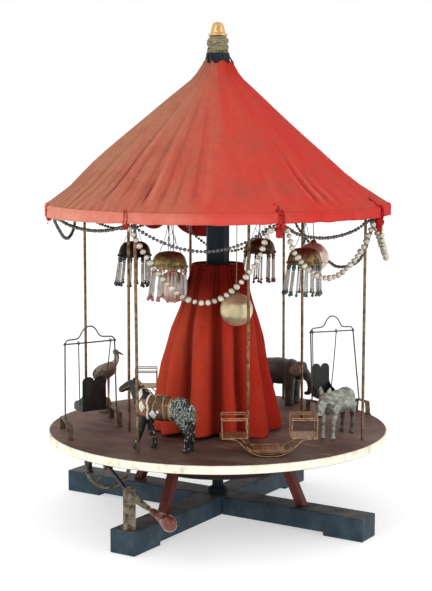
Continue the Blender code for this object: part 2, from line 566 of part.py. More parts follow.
# Swings: a wire frame on two bent strips, with a sheet-metal chair hung from the bar
def swing(tag, outer, inner, feet, strip_outer, strip_inner, face, chair, hung, seat_z):
    a = Vector((*outer, 0))
    b = Vector((*inner, 0))
    along = (a - b).normalized()
    span = (a - b).length

    def at(t, z, w=0.0):
        return b + along * (span * t) + face * w + Vector((0, 0, z))

    top = SWING_TOP
    foot_in, foot_out = [Vector((*foot, SWING_FOOT - 0.0006)) for foot in feet]
    bits = [tube("post_bar", [foot_in, at(0, top), at(1, top), foot_out], 0.0012, sides=6, keep=False)]
    arch = [at(0.0, top - 0.0004), at(0.02, top + 0.0058), at(0.27, top + 0.0070), at(0.33, top + 0.0110),
            at(0.40, top + 0.0205), at(0.51, top + 0.0240), at(0.63, top + 0.0195), at(0.71, top + 0.0090),
            at(0.76, top + 0.0060), at(0.98, top + 0.0058), at(1.0, top - 0.0004)]
    bits.append(tube("arch", arch, 0.0011, sides=6, keep=False))
    for k, (p, q) in enumerate((strip_inner, strip_outer)):
        p, q = Vector((*p, STAND)), Vector((*q, STAND))
        way = (q - p).normalized()
        length = (q - p).length
        rise = SWING_FOOT - STAND
        t = 0.0016
        bent = [(-0.0045, 0), (0.0016, 0), (0.0030, rise - t), (length - 0.0030, rise - t), (length - 0.0016, 0),
                (length + 0.0025, 0), (length + 0.0025, t), (length, t), (length - 0.0014, rise), (0.0014, rise),
                (0, t), (-0.0045, t)]
        wide = UP.cross(way)
        bits.append(prism("strip", bent, p, way, UP, wide, (0.0080, 0.0080)[k], None, keep=False))
    fuse("swing_frame_" + tag, "wire", bits)

    low, high = chair
    wide = span * (high - low)
    mid = (low + high) / 2
    edge = wide / 2 + 0.0002
    lobes = [(-edge, 0.0003), (edge, 0.0003), (edge, 0.0150), (edge - 0.0010, 0.0180), (edge - 0.0010, 0.0440),
             (edge - 0.0045, 0.0495), (wide / 4 - 0.001, 0.0510), (wide / 10, 0.0490), (0.0, 0.0460),
             (-wide / 10, 0.0490), (-wide / 4 + 0.001, 0.0510), (-edge + 0.0045, 0.0495),
             (-edge + 0.0010, 0.0440), (-edge + 0.0010, 0.0180), (-edge, 0.0150)]
    back = prism("chair", lobes, at(mid, seat_z, -0.0082), along, UP, face, 0.0014, None, keep=False)
    pan = prism("pan", [(-edge - 0.0001, 0.0006), (edge + 0.0001, 0.0006), (edge + 0.0001, 0.0020),
                        (-edge - 0.0001, 0.0020)], at(mid, seat_z, 0.0045), along, UP, face, 0.0258, None,
                keep=False)
    cheek = [(-0.0095, 0.0), (0.0175, 0.0), (0.0185, 0.0060), (0.0150, 0.0160), (0.0080, 0.0185),
             (-0.0020, 0.0175), (-0.0095, 0.0200)]
    bits = [back, pan]
    for t, eye_t in zip(chair, hung):
        bits.append(prism("cheek", cheek, at(t, seat_z), face, UP, along, 0.0014, None, keep=False))
        bits.append(tube("hanger", [at(eye_t, top - 0.0024), at(t, seat_z + 0.0100)], 0.0009, sides=6, keep=False))
        bits.append(turned("eye", [(0.0020, -0.0007), (0.0034, -0.0007), (0.0034, 0.0007), (0.0020, 0.0007)],
                           None, centre=at(eye_t, top), axis=along, steps=12, keep=False))
    hinge = bpy.data.objects.new("swing_hinge_" + tag, None)
    hinge.location = at(mid, top)
    PARTS.objects.link(hinge)
    carried(fuse("swing_seat_" + tag, "black_sheet", bits), hinge)


swing("left", (-0.1682, -0.1480), (-0.1347, -0.0733), ((-0.1329, -0.0722), (-0.1690, -0.1485)),
      ((-0.1796, -0.1410), (-0.1231, -0.1945)), ((-0.1655, -0.0410), (-0.1200, -0.0820)),
      Vector((-0.913, 0.409, 0)).normalized(), (0.24, 0.72), (0.085, 0.73), 0.1590)
swing("right", (0.1182, 0.2072), (0.0738, 0.1508), ((0.0766, 0.1525), (0.1331, 0.2012)),
      ((0.1246, 0.2071), (0.1542, 0.1903)), ((0.0649, 0.1593), (0.0950, 0.1417)),
      Vector((0.786, -0.618, 0)).normalized(), (0.08, 0.50), (0.045, 0.60), 0.1580)


# Wire boats: two curved runners, a floor, two flat seats and a wire cage over each seat
def boat(name, azimuth, radius, facing):
    out = polar(1, facing, 0)
    way = Vector((0, 0, 1)).cross(out)
    mid = polar(radius, azimuth, 0)

    def at(t, w, z):
        return mid + way * t + out * w + Vector((0, 0, z))

    half = 0.0200
    arc = [(-0.0640, 0.1585), (-0.0450, 0.1570), (-0.0370, 0.1495), (-0.0240, 0.1395), (-0.0100, 0.13455),
           (0.0100, 0.13455), (0.0240, 0.1395), (0.0370, 0.1495), (0.0450, 0.1570), (0.0640, 0.1585)]
    bits = []
    for w in (-half, half):
        bits.append(tube("runner", [at(t, w, z) for t, z in arc], 0.0012, sides=6, keep=False))
    bits.append(prism("floor", [(-0.0210, -half), (0.0210, -half), (0.0210, half), (-0.0210, half)],
                      at(0, 0, 0.1398), way, out, UP, 0.0022, None, keep=False))
    for end in (-1, 1):
        bits.append(prism("seat", [(-0.0195, -half - 0.0015), (0.0195, -half - 0.0015), (0.0195, half + 0.0015),
                                   (-0.0195, half + 0.0015)], at(end * 0.0470, 0, 0.1592), way, out, UP,
                          0.0020, None, keep=False))
        corners = [(end * 0.0300, -half), (end * 0.0300, half), (end * 0.0640, half), (end * 0.0640, -half)]
        bits.append(tube("rail", [at(t, w, 0.1860) for t, w in corners], 0.0010, sides=6, closed=True, keep=False))
        for t, w in corners:
            lean = [at(t * 0.996, w * 0.975, 0.1595), at(t * 0.998, w * 0.985, 0.1861)]
            bits.append(tube("stake", lean, 0.0009, sides=7, keep=False))
    return fuse(name, "brass_wire", bits)


boat("boat_front", 53.0, 0.1945, 33.5)
boat("boat_back", 233.0, 0.1945, 213.5)


# Lamps hung from the ribs: a domed cap with a fringe below it, open underneath
for k, (azimuth, r) in enumerate(((3.8, 0.139), (96.0, 0.137), (184.5, 0.140), (276.0, 0.140))):
    top = rib_height(r) - 0.0033
    turned("lamp_%d" % (k + 1), [
        (0, top), (0.0009, top), (0.0009, 0.4060), (0.0050, 0.4040), (0.0150, 0.3985), (0.0230, 0.3890),
        (0.0246, 0.3800), (0.0240, 0.3790), (0.0240, 0.3336), (0.0206, 0.3336), (0.0206, 0.3800),
        (0.0150, 0.3880), (0, 0.3920)], "brass", centre=polar(r, azimuth, 0), steps=20)

# Mirrored balls hung from the ribs
for name, azimuth, r, z, below, mat in (("ball_gold", 50.0, 0.0868, 0.3168, 0.0027, "gold_glass"),
                                        ("ball_silver", 319.0, 0.0680, 0.3421, 0.0033, "silver_glass"),
                                        ("ball_rose", 147.5, 0.1605, 0.3770, -0.0038, "silver_glass")):
    rad = 0.0230
    top = rib_height(r) - below
    profile = [(0, z - rad)]
    for step in range(1, 8):
        a = math.pi * step / 8
        profile.append((rad * math.sin(a), z - rad * math.cos(a)))
    profile += [(0.0040, z + rad * 0.985), (0.0040, z + rad + 0.0030), (0.0008, z + rad + 0.0050), (0.0008, top),
                (0, top)]
    turned(name, profile, mat, centre=polar(r, azimuth, 0), steps=20)


# Bead garlands hung between the rib ends
def swag(start, end, drop, r, z, count, chord=1.0):
    points = []
    inward = r * (1 - math.cos(math.radians(abs(end - start) / 2))) * chord
    for i in range(count):
        t = i / count
        sag = 4 * t * (1 - t)
        points.append(polar(r - inward * sag, start + (end - start) * t, z - drop * sag))
    return points


def cord(name, points, radius, mat, closed):
    data = bpy.data.curves.new(name, "CURVE")
    data.dimensions = "3D"
    data.bevel_depth = radius
    data.bevel_resolution = 2
    data.use_fill_caps = True
    spline = data.splines.new("POLY")
    spline.points.add(len(points) - 1)
    for slot, p in zip(spline.points, points):
        slot.co = (p.x, p.y, p.z, 1)
    spline.use_cyclic_u = closed
    ob = bpy.data.objects.new(name, data)
    data.materials.append(MATERIALS[mat])
    PARTS.objects.link(ob)
    return ob


DARK_R, DARK_Z = 0.2388, 0.4440
DEEP = [(96, 0.2388, 0.444), (103, 0.2240, 0.415), (112, 0.2120, 0.392), (122, 0.2030, 0.376),
        (132, 0.1950, 0.367), (141, 0.1900, 0.364), (150, 0.1950, 0.367), (160, 0.2030, 0.376),
        (169, 0.2120, 0.392), (177.5, 0.2240, 0.415)]
dark = []
for start, end, drop in ((3.8, 51, 0.034), (51, 96, 0.020)):
    dark += swag(start, end, drop, DARK_R, DARK_Z, 8)
dark += [polar(r, azimuth, z) for azimuth, r, z in DEEP]
for start, end, drop in ((184.5, 231, 0.070), (231, 276, 0.030), (276, 319, 0.034), (319, 363.8, 0.012)):
    dark += swag(start, end, drop, DARK_R, DARK_Z, 8)
cord("garland_dark", dark, 0.0022, "dark_bead", True)
PEARL_R, PEARL_Z = 0.2445, 0.4435
pearl = swag(3.8, 51, 0.100, PEARL_R, PEARL_Z, 9) + swag(51, 96, 0.073, PEARL_R, PEARL_Z, 9)
pearl += swag(96, 141, 0.060, PEARL_R, PEARL_Z, 9, chord=0.0) + [polar(PEARL_R, 141, PEARL_Z)]
cord("garland_pearl", pearl, 0.0032, "pearl_bead", False)

for ob in PARTS.objects:
    if ob.parent is None and ob.type in {"MESH", "CURVE"}:
        fixed = ob.name.startswith(("beam", "leg", "bearing", "spindle", "crank", "far"))
        if not fixed:
            carried(ob, carousel_axis)
for tag in ("left", "right"):
    carried(bpy.data.objects["swing_hinge_" + tag], carousel_axis)
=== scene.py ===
# %% [markdown]
# # A hand-cranked toy carousel
# The solids of the toy come ready made, as a frame of named nodes grouped in bodies. This lesson dresses them:
# it gives the hard pieces worn paint and metal, and swaps the plain ones for cloth, beads, wire and castings.
# Everything is in metres, +Z is up, and the deck turns about the Z axis.

# %% Load the frame
import math

import bmesh
import bpy
from mathutils import Matrix, Vector, noise
from mathutils.geometry import interpolate_bezier


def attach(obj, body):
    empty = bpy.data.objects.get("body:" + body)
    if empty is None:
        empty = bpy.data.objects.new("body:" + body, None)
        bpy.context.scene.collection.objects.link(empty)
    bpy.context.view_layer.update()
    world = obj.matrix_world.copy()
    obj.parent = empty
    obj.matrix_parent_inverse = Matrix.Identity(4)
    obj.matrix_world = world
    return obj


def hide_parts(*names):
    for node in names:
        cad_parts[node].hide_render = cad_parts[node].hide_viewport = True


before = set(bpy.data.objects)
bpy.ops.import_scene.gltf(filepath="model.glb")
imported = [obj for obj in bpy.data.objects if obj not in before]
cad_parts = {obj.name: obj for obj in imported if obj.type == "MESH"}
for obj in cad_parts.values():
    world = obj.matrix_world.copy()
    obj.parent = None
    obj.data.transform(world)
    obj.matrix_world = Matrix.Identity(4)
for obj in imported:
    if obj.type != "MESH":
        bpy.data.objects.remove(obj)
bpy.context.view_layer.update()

# %% [markdown]
# ## The camera
# The photograph was taken from a little above the roof's edge, about two metres away, with a long lens, so the
# toy shows almost no perspective. The lens and the place below came from matching the deck, the hoop and the
# beams. The long side of the picture is 591 pixels and matches 36 mm of sensor.

# %% Camera
VIEW_TURN = math.radians(32.3)
CAMERA_BACK = 1.930
CAMERA_HIGH = 0.5543
CAMERA_TILT = math.radians(6.716)
FOCAL_PIXELS = 1323.6
LONG_SIDE_PIXELS = 591
SENSOR_MM = 36
LOOK_ASIDE = -0.00135

camera_data = bpy.data.cameras.new("photo_camera")
camera_data.lens = FOCAL_PIXELS / LONG_SIDE_PIXELS * SENSOR_MM
camera_data.sensor_width = SENSOR_MM
camera = bpy.data.objects.new("photo_camera", camera_data)
bpy.context.scene.collection.objects.link(camera)
bpy.context.scene.camera = camera
aim = Matrix.Rotation(VIEW_TURN, 3, "Z")
camera.location = aim @ Vector((0, -CAMERA_BACK, CAMERA_HIGH))
looking = aim @ Vector((LOOK_ASIDE, math.cos(CAMERA_TILT), -math.sin(CAMERA_TILT)))
camera.rotation_mode = "QUATERNION"
camera.rotation_quaternion = looking.to_track_quat("-Z", "Y")
print("camera at", [round(x, 3) for x in camera.location], "lens", round(camera_data.lens, 2), "mm")

# %% [markdown]
# ## Two garlands come first
# Two strings of glass beads hang under the roof. The dark one runs all the way round and dips deep on the far
# side. The silver one hangs in three swags at the front and right. Each is a soft thread tied at the rib ends, so
# each is one smooth curve through its tie points and its sags. The beads are threaded on later, at even steps.

# %% Garland routes
UP = Vector((0, 0, 1))
RIB_AZIMUTH = (3.8, 51.0, 96.0, 141.0, 184.5, 231.0, 276.0, 319.0)


def polar(radius, azimuth, z):
    """Azimuth 0 is towards the crank, 90 is along +X."""
    a = math.radians(azimuth)
    return Vector((radius * math.sin(a), -radius * math.cos(a), z))


def swag(start, end, drop, r, z, count, chord=1.0):
    """Points of one hanging stretch between two ties, without the last tie."""
    points = []
    inward = r * (1 - math.cos(math.radians(abs(end - start) / 2))) * chord
    for i in range(count):
        t = i / count
        sag = 4 * t * (1 - t)
        points.append(polar(r - inward * sag, start + (end - start) * t, z - drop * sag))
    return points


DARK_R, DARK_Z = 0.2388, 0.4440
dark_route = []
for start, end, drop in ((3.8, 51, 0.034), (51, 96, 0.020)):
    dark_route += swag(start, end, drop, DARK_R, DARK_Z, 5)
FAR_DIP = ((96, 0.2388, 0.444), (103, 0.2240, 0.415), (112, 0.2120, 0.392), (122, 0.2030, 0.376),
           (132, 0.1950, 0.367), (141, 0.1900, 0.364), (150, 0.1950, 0.367), (160, 0.2030, 0.376),
           (169, 0.2120, 0.392), (177.5, 0.2240, 0.415))
dark_route += [polar(r, azimuth, z) for azimuth, r, z in FAR_DIP]
for start, end, drop in ((184.5, 231, 0.070), (231, 276, 0.030), (276, 319, 0.034), (319, 363.8, 0.012)):
    dark_route += swag(start, end, drop, DARK_R, DARK_Z, 5)
dark_route.append(polar(DARK_R, 363.0, DARK_Z))
PEARL_R, PEARL_Z = 0.2445, 0.4435
pearl_route = swag(3.8, 51, 0.100, PEARL_R, PEARL_Z, 7) + swag(51, 96, 0.073, PEARL_R, PEARL_Z, 7)
pearl_route += swag(96, 141, 0.060, PEARL_R, PEARL_Z, 7, chord=0.0) + [polar(PEARL_R, 141, PEARL_Z)]


def thread(name, route, radius):
    """A thread as one open Bezier spline; gives the object and closely spaced points along it."""
    data = bpy.data.curves.new(name, "CURVE")
    data.dimensions = "3D"
    data.bevel_depth = radius
    data.bevel_resolution = 1
    data.resolution_u = 8
    data.use_fill_caps = True
    spline = data.splines.new("BEZIER")
    spline.bezier_points.add(len(route) - 1)
    for knot, p in zip(spline.bezier_points, route):
        knot.co = p
        knot.handle_left_type = knot.handle_right_type = "AUTO"
    ob = bpy.data.objects.new(name, data)
    bpy.context.scene.collection.objects.link(ob)
    bpy.context.view_layer.update()
    line = []
    knots = spline.bezier_points
    for k0, k1 in zip(knots, knots[1:]):
        line += interpolate_bezier(k0.co, k0.handle_right, k1.handle_left, k1.co, 17)[:-1]
    line.append(knots[-1].co.copy())
    return ob, line


dark_thread, dark_line = thread("dark_garland_thread", dark_route, 0.0005)
pearl_thread, pearl_line = thread("silver_garland_thread", pearl_route, 0.0006)


def run_length(line):
    return sum((b - a).length for a, b in zip(line, line[1:]))


print("dark garland", round(run_length(dark_line), 3), "m; silver garland", round(run_length(pearl_line), 3), "m")

# %% [markdown]
# ## Materials are small graphs
# Every finish below starts from one Principled shader. Colour, roughness and a bump are painted by noise that
# reads Object coordinates, so a pattern stays where it is when the toy turns. A short helper keeps each finish
# readable: it adds a node, sets its sockets and returns it.

# %% Material helpers


class Finish:
    """One material under construction: nodes are added with add() and joined with link()."""

    def __init__(self, name, color, roughness, metallic=0.0, gloss=None):
        self.mat = bpy.data.materials.new(name)
        self.mat.use_nodes = True
        self.tree = self.mat.node_tree
        self.shader = self.tree.nodes["Principled BSDF"]
        self.shader.inputs["Base Color"].default_value = (*color, 1)
        self.shader.inputs["Roughness"].default_value = roughness
        self.shader.inputs["Metallic"].default_value = metallic
        self.shader.inputs["Specular IOR Level"].default_value = gloss if gloss is not None else 0.5
        self.coords = self.tree.nodes.new("ShaderNodeTexCoord")

    def feed(self, socket, value):
        """Links a node's output to the socket, or writes a plain value into it."""
        if isinstance(value, bpy.types.NodeSocket):
            self.link(value, socket)
        else:
            socket.default_value = value

    def add(self, kind, settings=None, **sockets):
        node = self.tree.nodes.new(kind)
        for key, value in (settings or {}).items():
            setattr(node, key, value)
        for key, value in sockets.items():
            self.feed(node.inputs[key.replace("_", " ")], value)
        return node

    def link(self, source, target):
        self.tree.links.new(source, target)

    def grain(self, scale, detail=4.0, stretch=(1, 1, 1), rough=0.55):
        """Noise over the object's own coordinates, stretched where the real mark is drawn out."""
        place = self.add("ShaderNodeMapping", Vector=self.coords.outputs["Object"], Scale=stretch)
        node = self.add("ShaderNodeTexNoise", Vector=place.outputs["Vector"], Scale=scale, Detail=detail,
                        Roughness=rough)
        return node.outputs["Fac"]

    def ramp(self, factor, stops):
        node = self.add("ShaderNodeValToRGB", Fac=factor)
        ends = node.color_ramp.elements
        ends[0].position, ends[0].color = stops[0][0], (*stops[0][1], 1)
        ends[1].position, ends[1].color = stops[-1][0], (*stops[-1][1], 1)
        for place, color in stops[1:-1]:
            ends.new(place).color = (*color, 1)
        return node.outputs["Color"]

    def steps(self, factor, low, high):
        """A grey ramp from 0 at low to 1 at high."""
        return self.add("ShaderNodeMapRange", Value=factor, From_Min=low, From_Max=high).outputs["Result"]

    def mix(self, factor, a, b):
        node = self.add("ShaderNodeMix", {"data_type": "RGBA"})
        a, b = ((*color, 1) if isinstance(color, tuple) else color for color in (a, b))
        for place, value in ((0, factor), (6, a), (7, b)):
            self.feed(node.inputs[place], value)
        return node.outputs[2]

    def math(self, operation, a, b=0.0):
        node = self.add("ShaderNodeMath", {"operation": operation})
        self.feed(node.inputs[0], a)
        self.feed(node.inputs[1], b)
        return node.outputs[0]

    def mark(self, name):
        """A value or colour that the piece's own vertices carry."""
        node = self.add("ShaderNodeAttribute", {"attribute_name": name})
        return node.outputs["Color"], node.outputs["Fac"], node.outputs["Vector"]

    def xyz(self):
        node = self.add("ShaderNodeSeparateXYZ", Vector=self.coords.outputs["Object"])
        return node.outputs["X"], node.outputs["Y"], node.outputs["Z"]

    def facing_up(self):
        normal = self.add("ShaderNodeNewGeometry")
        return self.add("ShaderNodeSeparateXYZ", Vector=normal.outputs["Normal"]).outputs["Z"]

    def done(self, color=None, rough=None, bump=None, height=0.001, strength=0.4):
        if color is not None:
            self.link(color, self.shader.inputs["Base Color"])
        if rough is not None:
            self.link(rough, self.shader.inputs["Roughness"])
        if bump is not None:
            node = self.add("ShaderNodeBump", Height=bump, Distance=height, Strength=strength)
            self.link(node.outputs["Normal"], self.shader.inputs["Normal"])
        return self.mat


# %% [markdown]
# ## Worn paint on wood
# The two base beams are painted slate blue, and a century of dust and handling has left their tops grey brown
# and their paint thin. The mask is the surface's upward direction times a coarse noise, so the wear is patchy.

# %% Slate beam paint


def slate_paint():
    f = Finish("slate_beam_paint", (0.03, 0.05, 0.07), 0.7, gloss=0.22)
    coarse = f.grain(38, 6)
    fine = f.grain(420, 3)
    blue = f.ramp(coarse, [(0.30, (0.016, 0.028, 0.040)), (0.55, (0.030, 0.055, 0.076)), (0.80, (0.060, 0.092, 0.110))])
    dust = f.math("MULTIPLY", f.steps(f.facing_up(), 0.5, 0.95), f.steps(coarse, 0.30, 0.62))
    dusty = f.mix(f.math("MULTIPLY", dust, 0.75), blue, (0.150, 0.115, 0.090))
    chips = f.steps(f.grain(120, 8, rough=0.7), 0.64, 0.70)
    color = f.mix(f.math("MULTIPLY", chips, 0.7), dusty, (0.17, 0.115, 0.070))
    return f.done(color, f.steps(fine, -0.6, 1.4), fine, 0.0006, 0.35)


beam_finish = slate_paint()
print("made", beam_finish.name)

# %% [markdown]
# ## Stained red wood
# The four legs, the turned plate and the pulley carry a dark red stain with the grain showing through. On the
# plate and the pulley under the deck it is darkened almost to black: painted shade. Stretched noise draws the
# grain: narrow across, long along the piece.

# %% Red stained wood


def stained_wood(name, dark, light, stretch, rough=0.5):
    f = Finish(name, light, rough, gloss=0.3)
    grain = f.grain(60, 8, stretch, 0.65)
    color = f.ramp(grain, [(0.30, dark), (0.62, light), (0.85, tuple(min(1, x * 1.5) for x in light))])
    sheen = f.add("ShaderNodeMapRange", Value=grain, To_Min=rough * 0.7, To_Max=rough * 1.4).outputs["Result"]
    return f.done(color, sheen, f.grain(500, 3, stretch), 0.0005, 0.3)


leg_finish = stained_wood("red_leg_stain", (0.055, 0.010, 0.008), (0.150, 0.024, 0.018), (5, 5, 0.5))
# painted shade: the plate and the pulley under the deck are stained almost black
plate_shade_finish = stained_wood("red_plate_stain_painted_shade", (0.010, 0.004, 0.004), (0.026, 0.008, 0.007), (2, 0.6, 6), 0.7)
handle_finish = stained_wood("polished_handle", (0.060, 0.010, 0.006), (0.165, 0.030, 0.014), (2, 2, 0.8), 0.16)
handle_finish.node_tree.nodes["Principled BSDF"].inputs["Coat Weight"].default_value = 0.55
print("made", leg_finish.name, plate_shade_finish.name, handle_finish.name)

# %% [markdown]
# ## The deck's paint
# One disc carries three finishes: a maroon brown top rubbed by fingers, a cream edge, and bare brown wood below.
# The distance from the axis and the height choose between them, so the borders stay crisp circles. The front of
# the top, on the crank side, is darkened with painted shade.

# %% Deck paint


def deck_paint():
    f = Finish("worn_deck_paint_and_shade", (0.10, 0.045, 0.035), 0.75, gloss=0.2)
    x, y, z = f.xyz()
    radius = f.math("SQRT", f.math("ADD", f.math("MULTIPLY", x, x), f.math("MULTIPLY", y, y)))
    streaks = f.grain(20, 7, (1, 3.5, 1), 0.6)
    blotch = f.grain(9, 5)
    top = f.ramp(streaks, [(0.28, (0.045, 0.021, 0.015)), (0.55, (0.125, 0.060, 0.044)), (0.80, (0.260, 0.155, 0.115))])
    top = f.mix(f.math("MULTIPLY", f.steps(blotch, 0.44, 0.70), 0.62), top, (0.27, 0.185, 0.145))
    # painted shade: the front of the top, on the crank side, is darkened in patches towards near-black brown
    front = f.math("ADD", f.math("MULTIPLY", x, 1.6), f.math("MULTIPLY", y, -4.2))
    top = f.mix(f.math("MULTIPLY", f.steps(f.math("ADD", front, f.math("MULTIPLY", blotch, 0.8)), 0.60, 1.30), 0.40),
                top, (0.026, 0.018, 0.011))
    scuffs = f.steps(f.grain(34, 9, (1, 2.2, 1), 0.72), 0.60, 0.68)
    rubbed = f.math("MULTIPLY", scuffs, f.steps(radius, 0.150, 0.235))
    top = f.mix(f.math("MULTIPLY", rubbed, 0.6), top, (0.30, 0.27, 0.25))
    stain = f.grain(70, 6)
    cream = f.ramp(stain, [(0.25, (0.62, 0.55, 0.40)), (0.48, (0.90, 0.86, 0.70)), (0.75, (0.96, 0.93, 0.82))])
    chips = f.steps(f.grain(95, 8, rough=0.75), 0.66, 0.70)
    cream = f.mix(chips, cream, (0.20, 0.11, 0.07))
    edge = f.steps(radius, 0.2476, 0.2479)
    color = f.mix(edge, top, cream)
    under = f.steps(z, 0.1222, 0.1219)
    color = f.mix(under, color, (0.026, 0.015, 0.010))
    return f.done(color, f.steps(streaks, -1.0, 1.3), f.grain(240, 5), 0.0008, 0.4)


deck_finish = deck_paint()
print("made", deck_finish.name)

# %% [markdown]
# ## Building pieces
# Two helpers carry most of the work. piece() turns a finished bmesh into an object with outward normals and
# puts it on its body. lathe() starts from a row of vertices, the profile, and spins it once round an axis, as a
# wood turner would, which is right for the deck, the finial, the lamps and the handle.

# %% Piece and lathe helpers


def piece(name, bm, finish, body, replaced=(), smooth=40):
    bmesh.ops.recalc_face_normals(bm, faces=bm.faces[:])
    mesh = bpy.data.meshes.new(name)
    bm.to_mesh(mesh)
    bm.free()
    mesh.materials.append(finish)
    ob = bpy.data.objects.new(name, mesh)
    bpy.context.scene.collection.objects.link(ob)
    mesh.shade_smooth()
    mesh.set_sharp_from_angle(angle=math.radians(smooth))
    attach(ob, body)
    if replaced:
        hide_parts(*replaced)
    return ob


def lathe(bm, profile, steps=48, place=None):
    """Spins (radius, height) points about Z; an open profile that ends on the axis makes a closed solid."""
    place = place or Matrix.Identity(4)
    verts = [bm.verts.new((r, 0, h)) for r, h in profile]
    edges = [bm.edges.new(pair) for pair in zip(verts, verts[1:])]
    if profile[0][0] > 1e-6 or profile[-1][0] > 1e-6:
        edges.append(bm.edges.new((verts[-1], verts[0])))
    made = bmesh.ops.spin(bm, geom=verts + edges, cent=(0, 0, 0), axis=(0, 0, 1), angle=2 * math.pi, steps=steps,
                          use_merge=True)
    ring = {v for v in made["geom_last"] if isinstance(v, bmesh.types.BMVert)} | set(verts)
    faces = {face for v in ring for face in v.link_faces}
    grown = set()
    todo = list(faces)
    while todo:
        face = todo.pop()
        if face in grown:
            continue
        grown.add(face)
        todo += [other for edge in face.edges for other in edge.link_faces if other not in grown]
    points = list({v for face in grown for v in face.verts} | set(verts))
    bmesh.ops.remove_doubles(bm, verts=points, dist=1e-6)
    points = [v for v in points if v.is_valid]
    bmesh.ops.transform(bm, matrix=place, verts=points)


def along(axis, at=(0, 0, 0)):
    """Stands a Z shape along another axis, at a point."""
    turn = Vector((0, 0, 1)).rotation_difference(Vector(axis)).to_matrix().to_4x4()
    return Matrix.Translation(Vector(at)) @ turn


# %% [markdown]
# ## The deck
# The deck is one lathe profile: a flat underside, a rounded rim and a flat top, spun round the axis.

# %% Deck
bm = bmesh.new()
DECK_TOP, DECK_LOW = 0.1330, 0.1212
lathe(bm, [(0, DECK_LOW), (0.2484, DECK_LOW), (0.2496, 0.1219), (0.2500, 0.1232), (0.2500, 0.1310), (0.2496, 0.1323),
           (0.2484, DECK_TOP), (0.2478, DECK_TOP), (0.2470, DECK_TOP), (0, DECK_TOP)], 144)
deck = piece("deck_board", bm, deck_finish, "carousel", ["deck"])
print(deck.name, len(deck.data.polygons), "faces")

# %% [markdown]
# ## Painted metal, brass and iron
# The hardware is all old metal, so no surface is evenly bright. One recipe serves every metal here: a base
# colour, a darker tarnish that gathers in patches, and a roughness that rises with the tarnish.

# %% Metal finishes


def metal(name, bright, tarnish, rough, amount=0.5, scale=160, metallic=1.0):
    f = Finish(name, bright, rough, metallic)
    patch = f.grain(scale, 7, rough=0.6)
    mask = f.steps(patch, 0.62 - amount * 0.4, 0.78 - amount * 0.2)
    color = f.mix(mask, bright, tarnish)
    roughness = f.add("ShaderNodeMapRange", Value=mask, To_Min=rough, To_Max=min(1.0, rough + 0.28))
    return f.done(color, roughness.outputs["Result"], f.grain(scale * 5, 3), 0.0003, 0.25)


rod_finish = metal("tarnished_rod", (0.30, 0.19, 0.10), (0.10, 0.055, 0.032), 0.42, 0.6)
finial_finish = metal("old_brass_finial", (0.72, 0.47, 0.20), (0.30, 0.17, 0.07), 0.28, 0.35, 90)
bracket_finish = metal("dull_steel_strip", (0.28, 0.25, 0.165), (0.070, 0.054, 0.034), 0.5, 0.66, 130, 0.7)
iron_finish = metal("dark_iron", (0.055, 0.048, 0.042), (0.020, 0.017, 0.015), 0.5, 0.5, 120, 0.6)
wire_finish = metal("dark_swing_wire", (0.17, 0.165, 0.155), (0.055, 0.05, 0.045), 0.42, 0.5, 200, 0.85)
boat_finish = metal("brown_brass_wire", (0.42, 0.26, 0.13), (0.14, 0.08, 0.045), 0.38, 0.5, 200, 0.9)
rib_finish = metal("dark_rib_steel", (0.10, 0.085, 0.07), (0.04, 0.03, 0.025), 0.5, 0.5, 120, 0.8)
chair_finish = metal("black_japanned_sheet", (0.010, 0.011, 0.011), (0.030, 0.029, 0.027), 0.34, 0.3, 80, 0.2)
strip_finish = metal("brown_strip", (0.16, 0.095, 0.055), (0.050, 0.032, 0.022), 0.5, 0.55, 150, 0.6)
print("made nine metals")

# %% [markdown]
# ## The post, and the plain pieces
# The centre post is painted blue black. After it, a dictionary gives every node that keeps its solid shape one
# of the finishes made so far.

# %% Post paint


def post_paint():
    f = Finish("blue_black_post", (0.012, 0.020, 0.032), 0.6, gloss=0.15)
    coarse = f.grain(45, 6, (1, 1, 0.25))
    color = f.ramp(coarse, [(0.30, (0.008, 0.013, 0.020)), (0.60, (0.014, 0.024, 0.036)),
                            (0.85, (0.040, 0.050, 0.060))])
    return f.done(color, f.steps(coarse, -1.2, 1.6), f.grain(320, 4), 0.0006, 0.35)


post_finish = post_paint()
DRESS = {
    "beam_crank": beam_finish, "beam_cross": beam_finish, "leg_front": leg_finish, "leg_right": leg_finish,
    "leg_back": leg_finish, "leg_left": leg_finish, "bearing_plate": plate_shade_finish, "deck_pulley": plate_shade_finish,
    "spindle": post_finish, "crank_bracket": bracket_finish, "far_bracket": iron_finish, "crank_shaft": iron_finish,
    "centre_post": post_finish, "skirt_collar": iron_finish,
    "canopy_ribs": rib_finish}
for k in range(1, 5):
    DRESS["rod_outer_%d" % k] = rod_finish
    DRESS["rod_inner_%d" % k] = rod_finish
for node, finish in DRESS.items():
    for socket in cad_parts[node].material_slots:
        socket.material = finish
print("dressed", len(DRESS), "solid nodes")

# %% [markdown]
# ## Cloth
# Roof, band and skirt are one red cotton, coarse enough to show its threads. The sun has bleached the roof on
# one side to a brownish salmon. Painted shade darkens the creases of the folds and the top of the skirt, and
# painted highlights lighten the roof's ridges and puckers. The weave is two crossed waves in a UV map. On roof,
# band and skirt one wave is 0.9 mm wide where the cloth is 0.12 m from the axis, and wider further out. LIT is
# the direction of the bleached side.

# %% Cloth finish
LIT = Vector((-0.8452, -0.5344, 0))
THREAD_WAVE = 6283.0 / 0.9


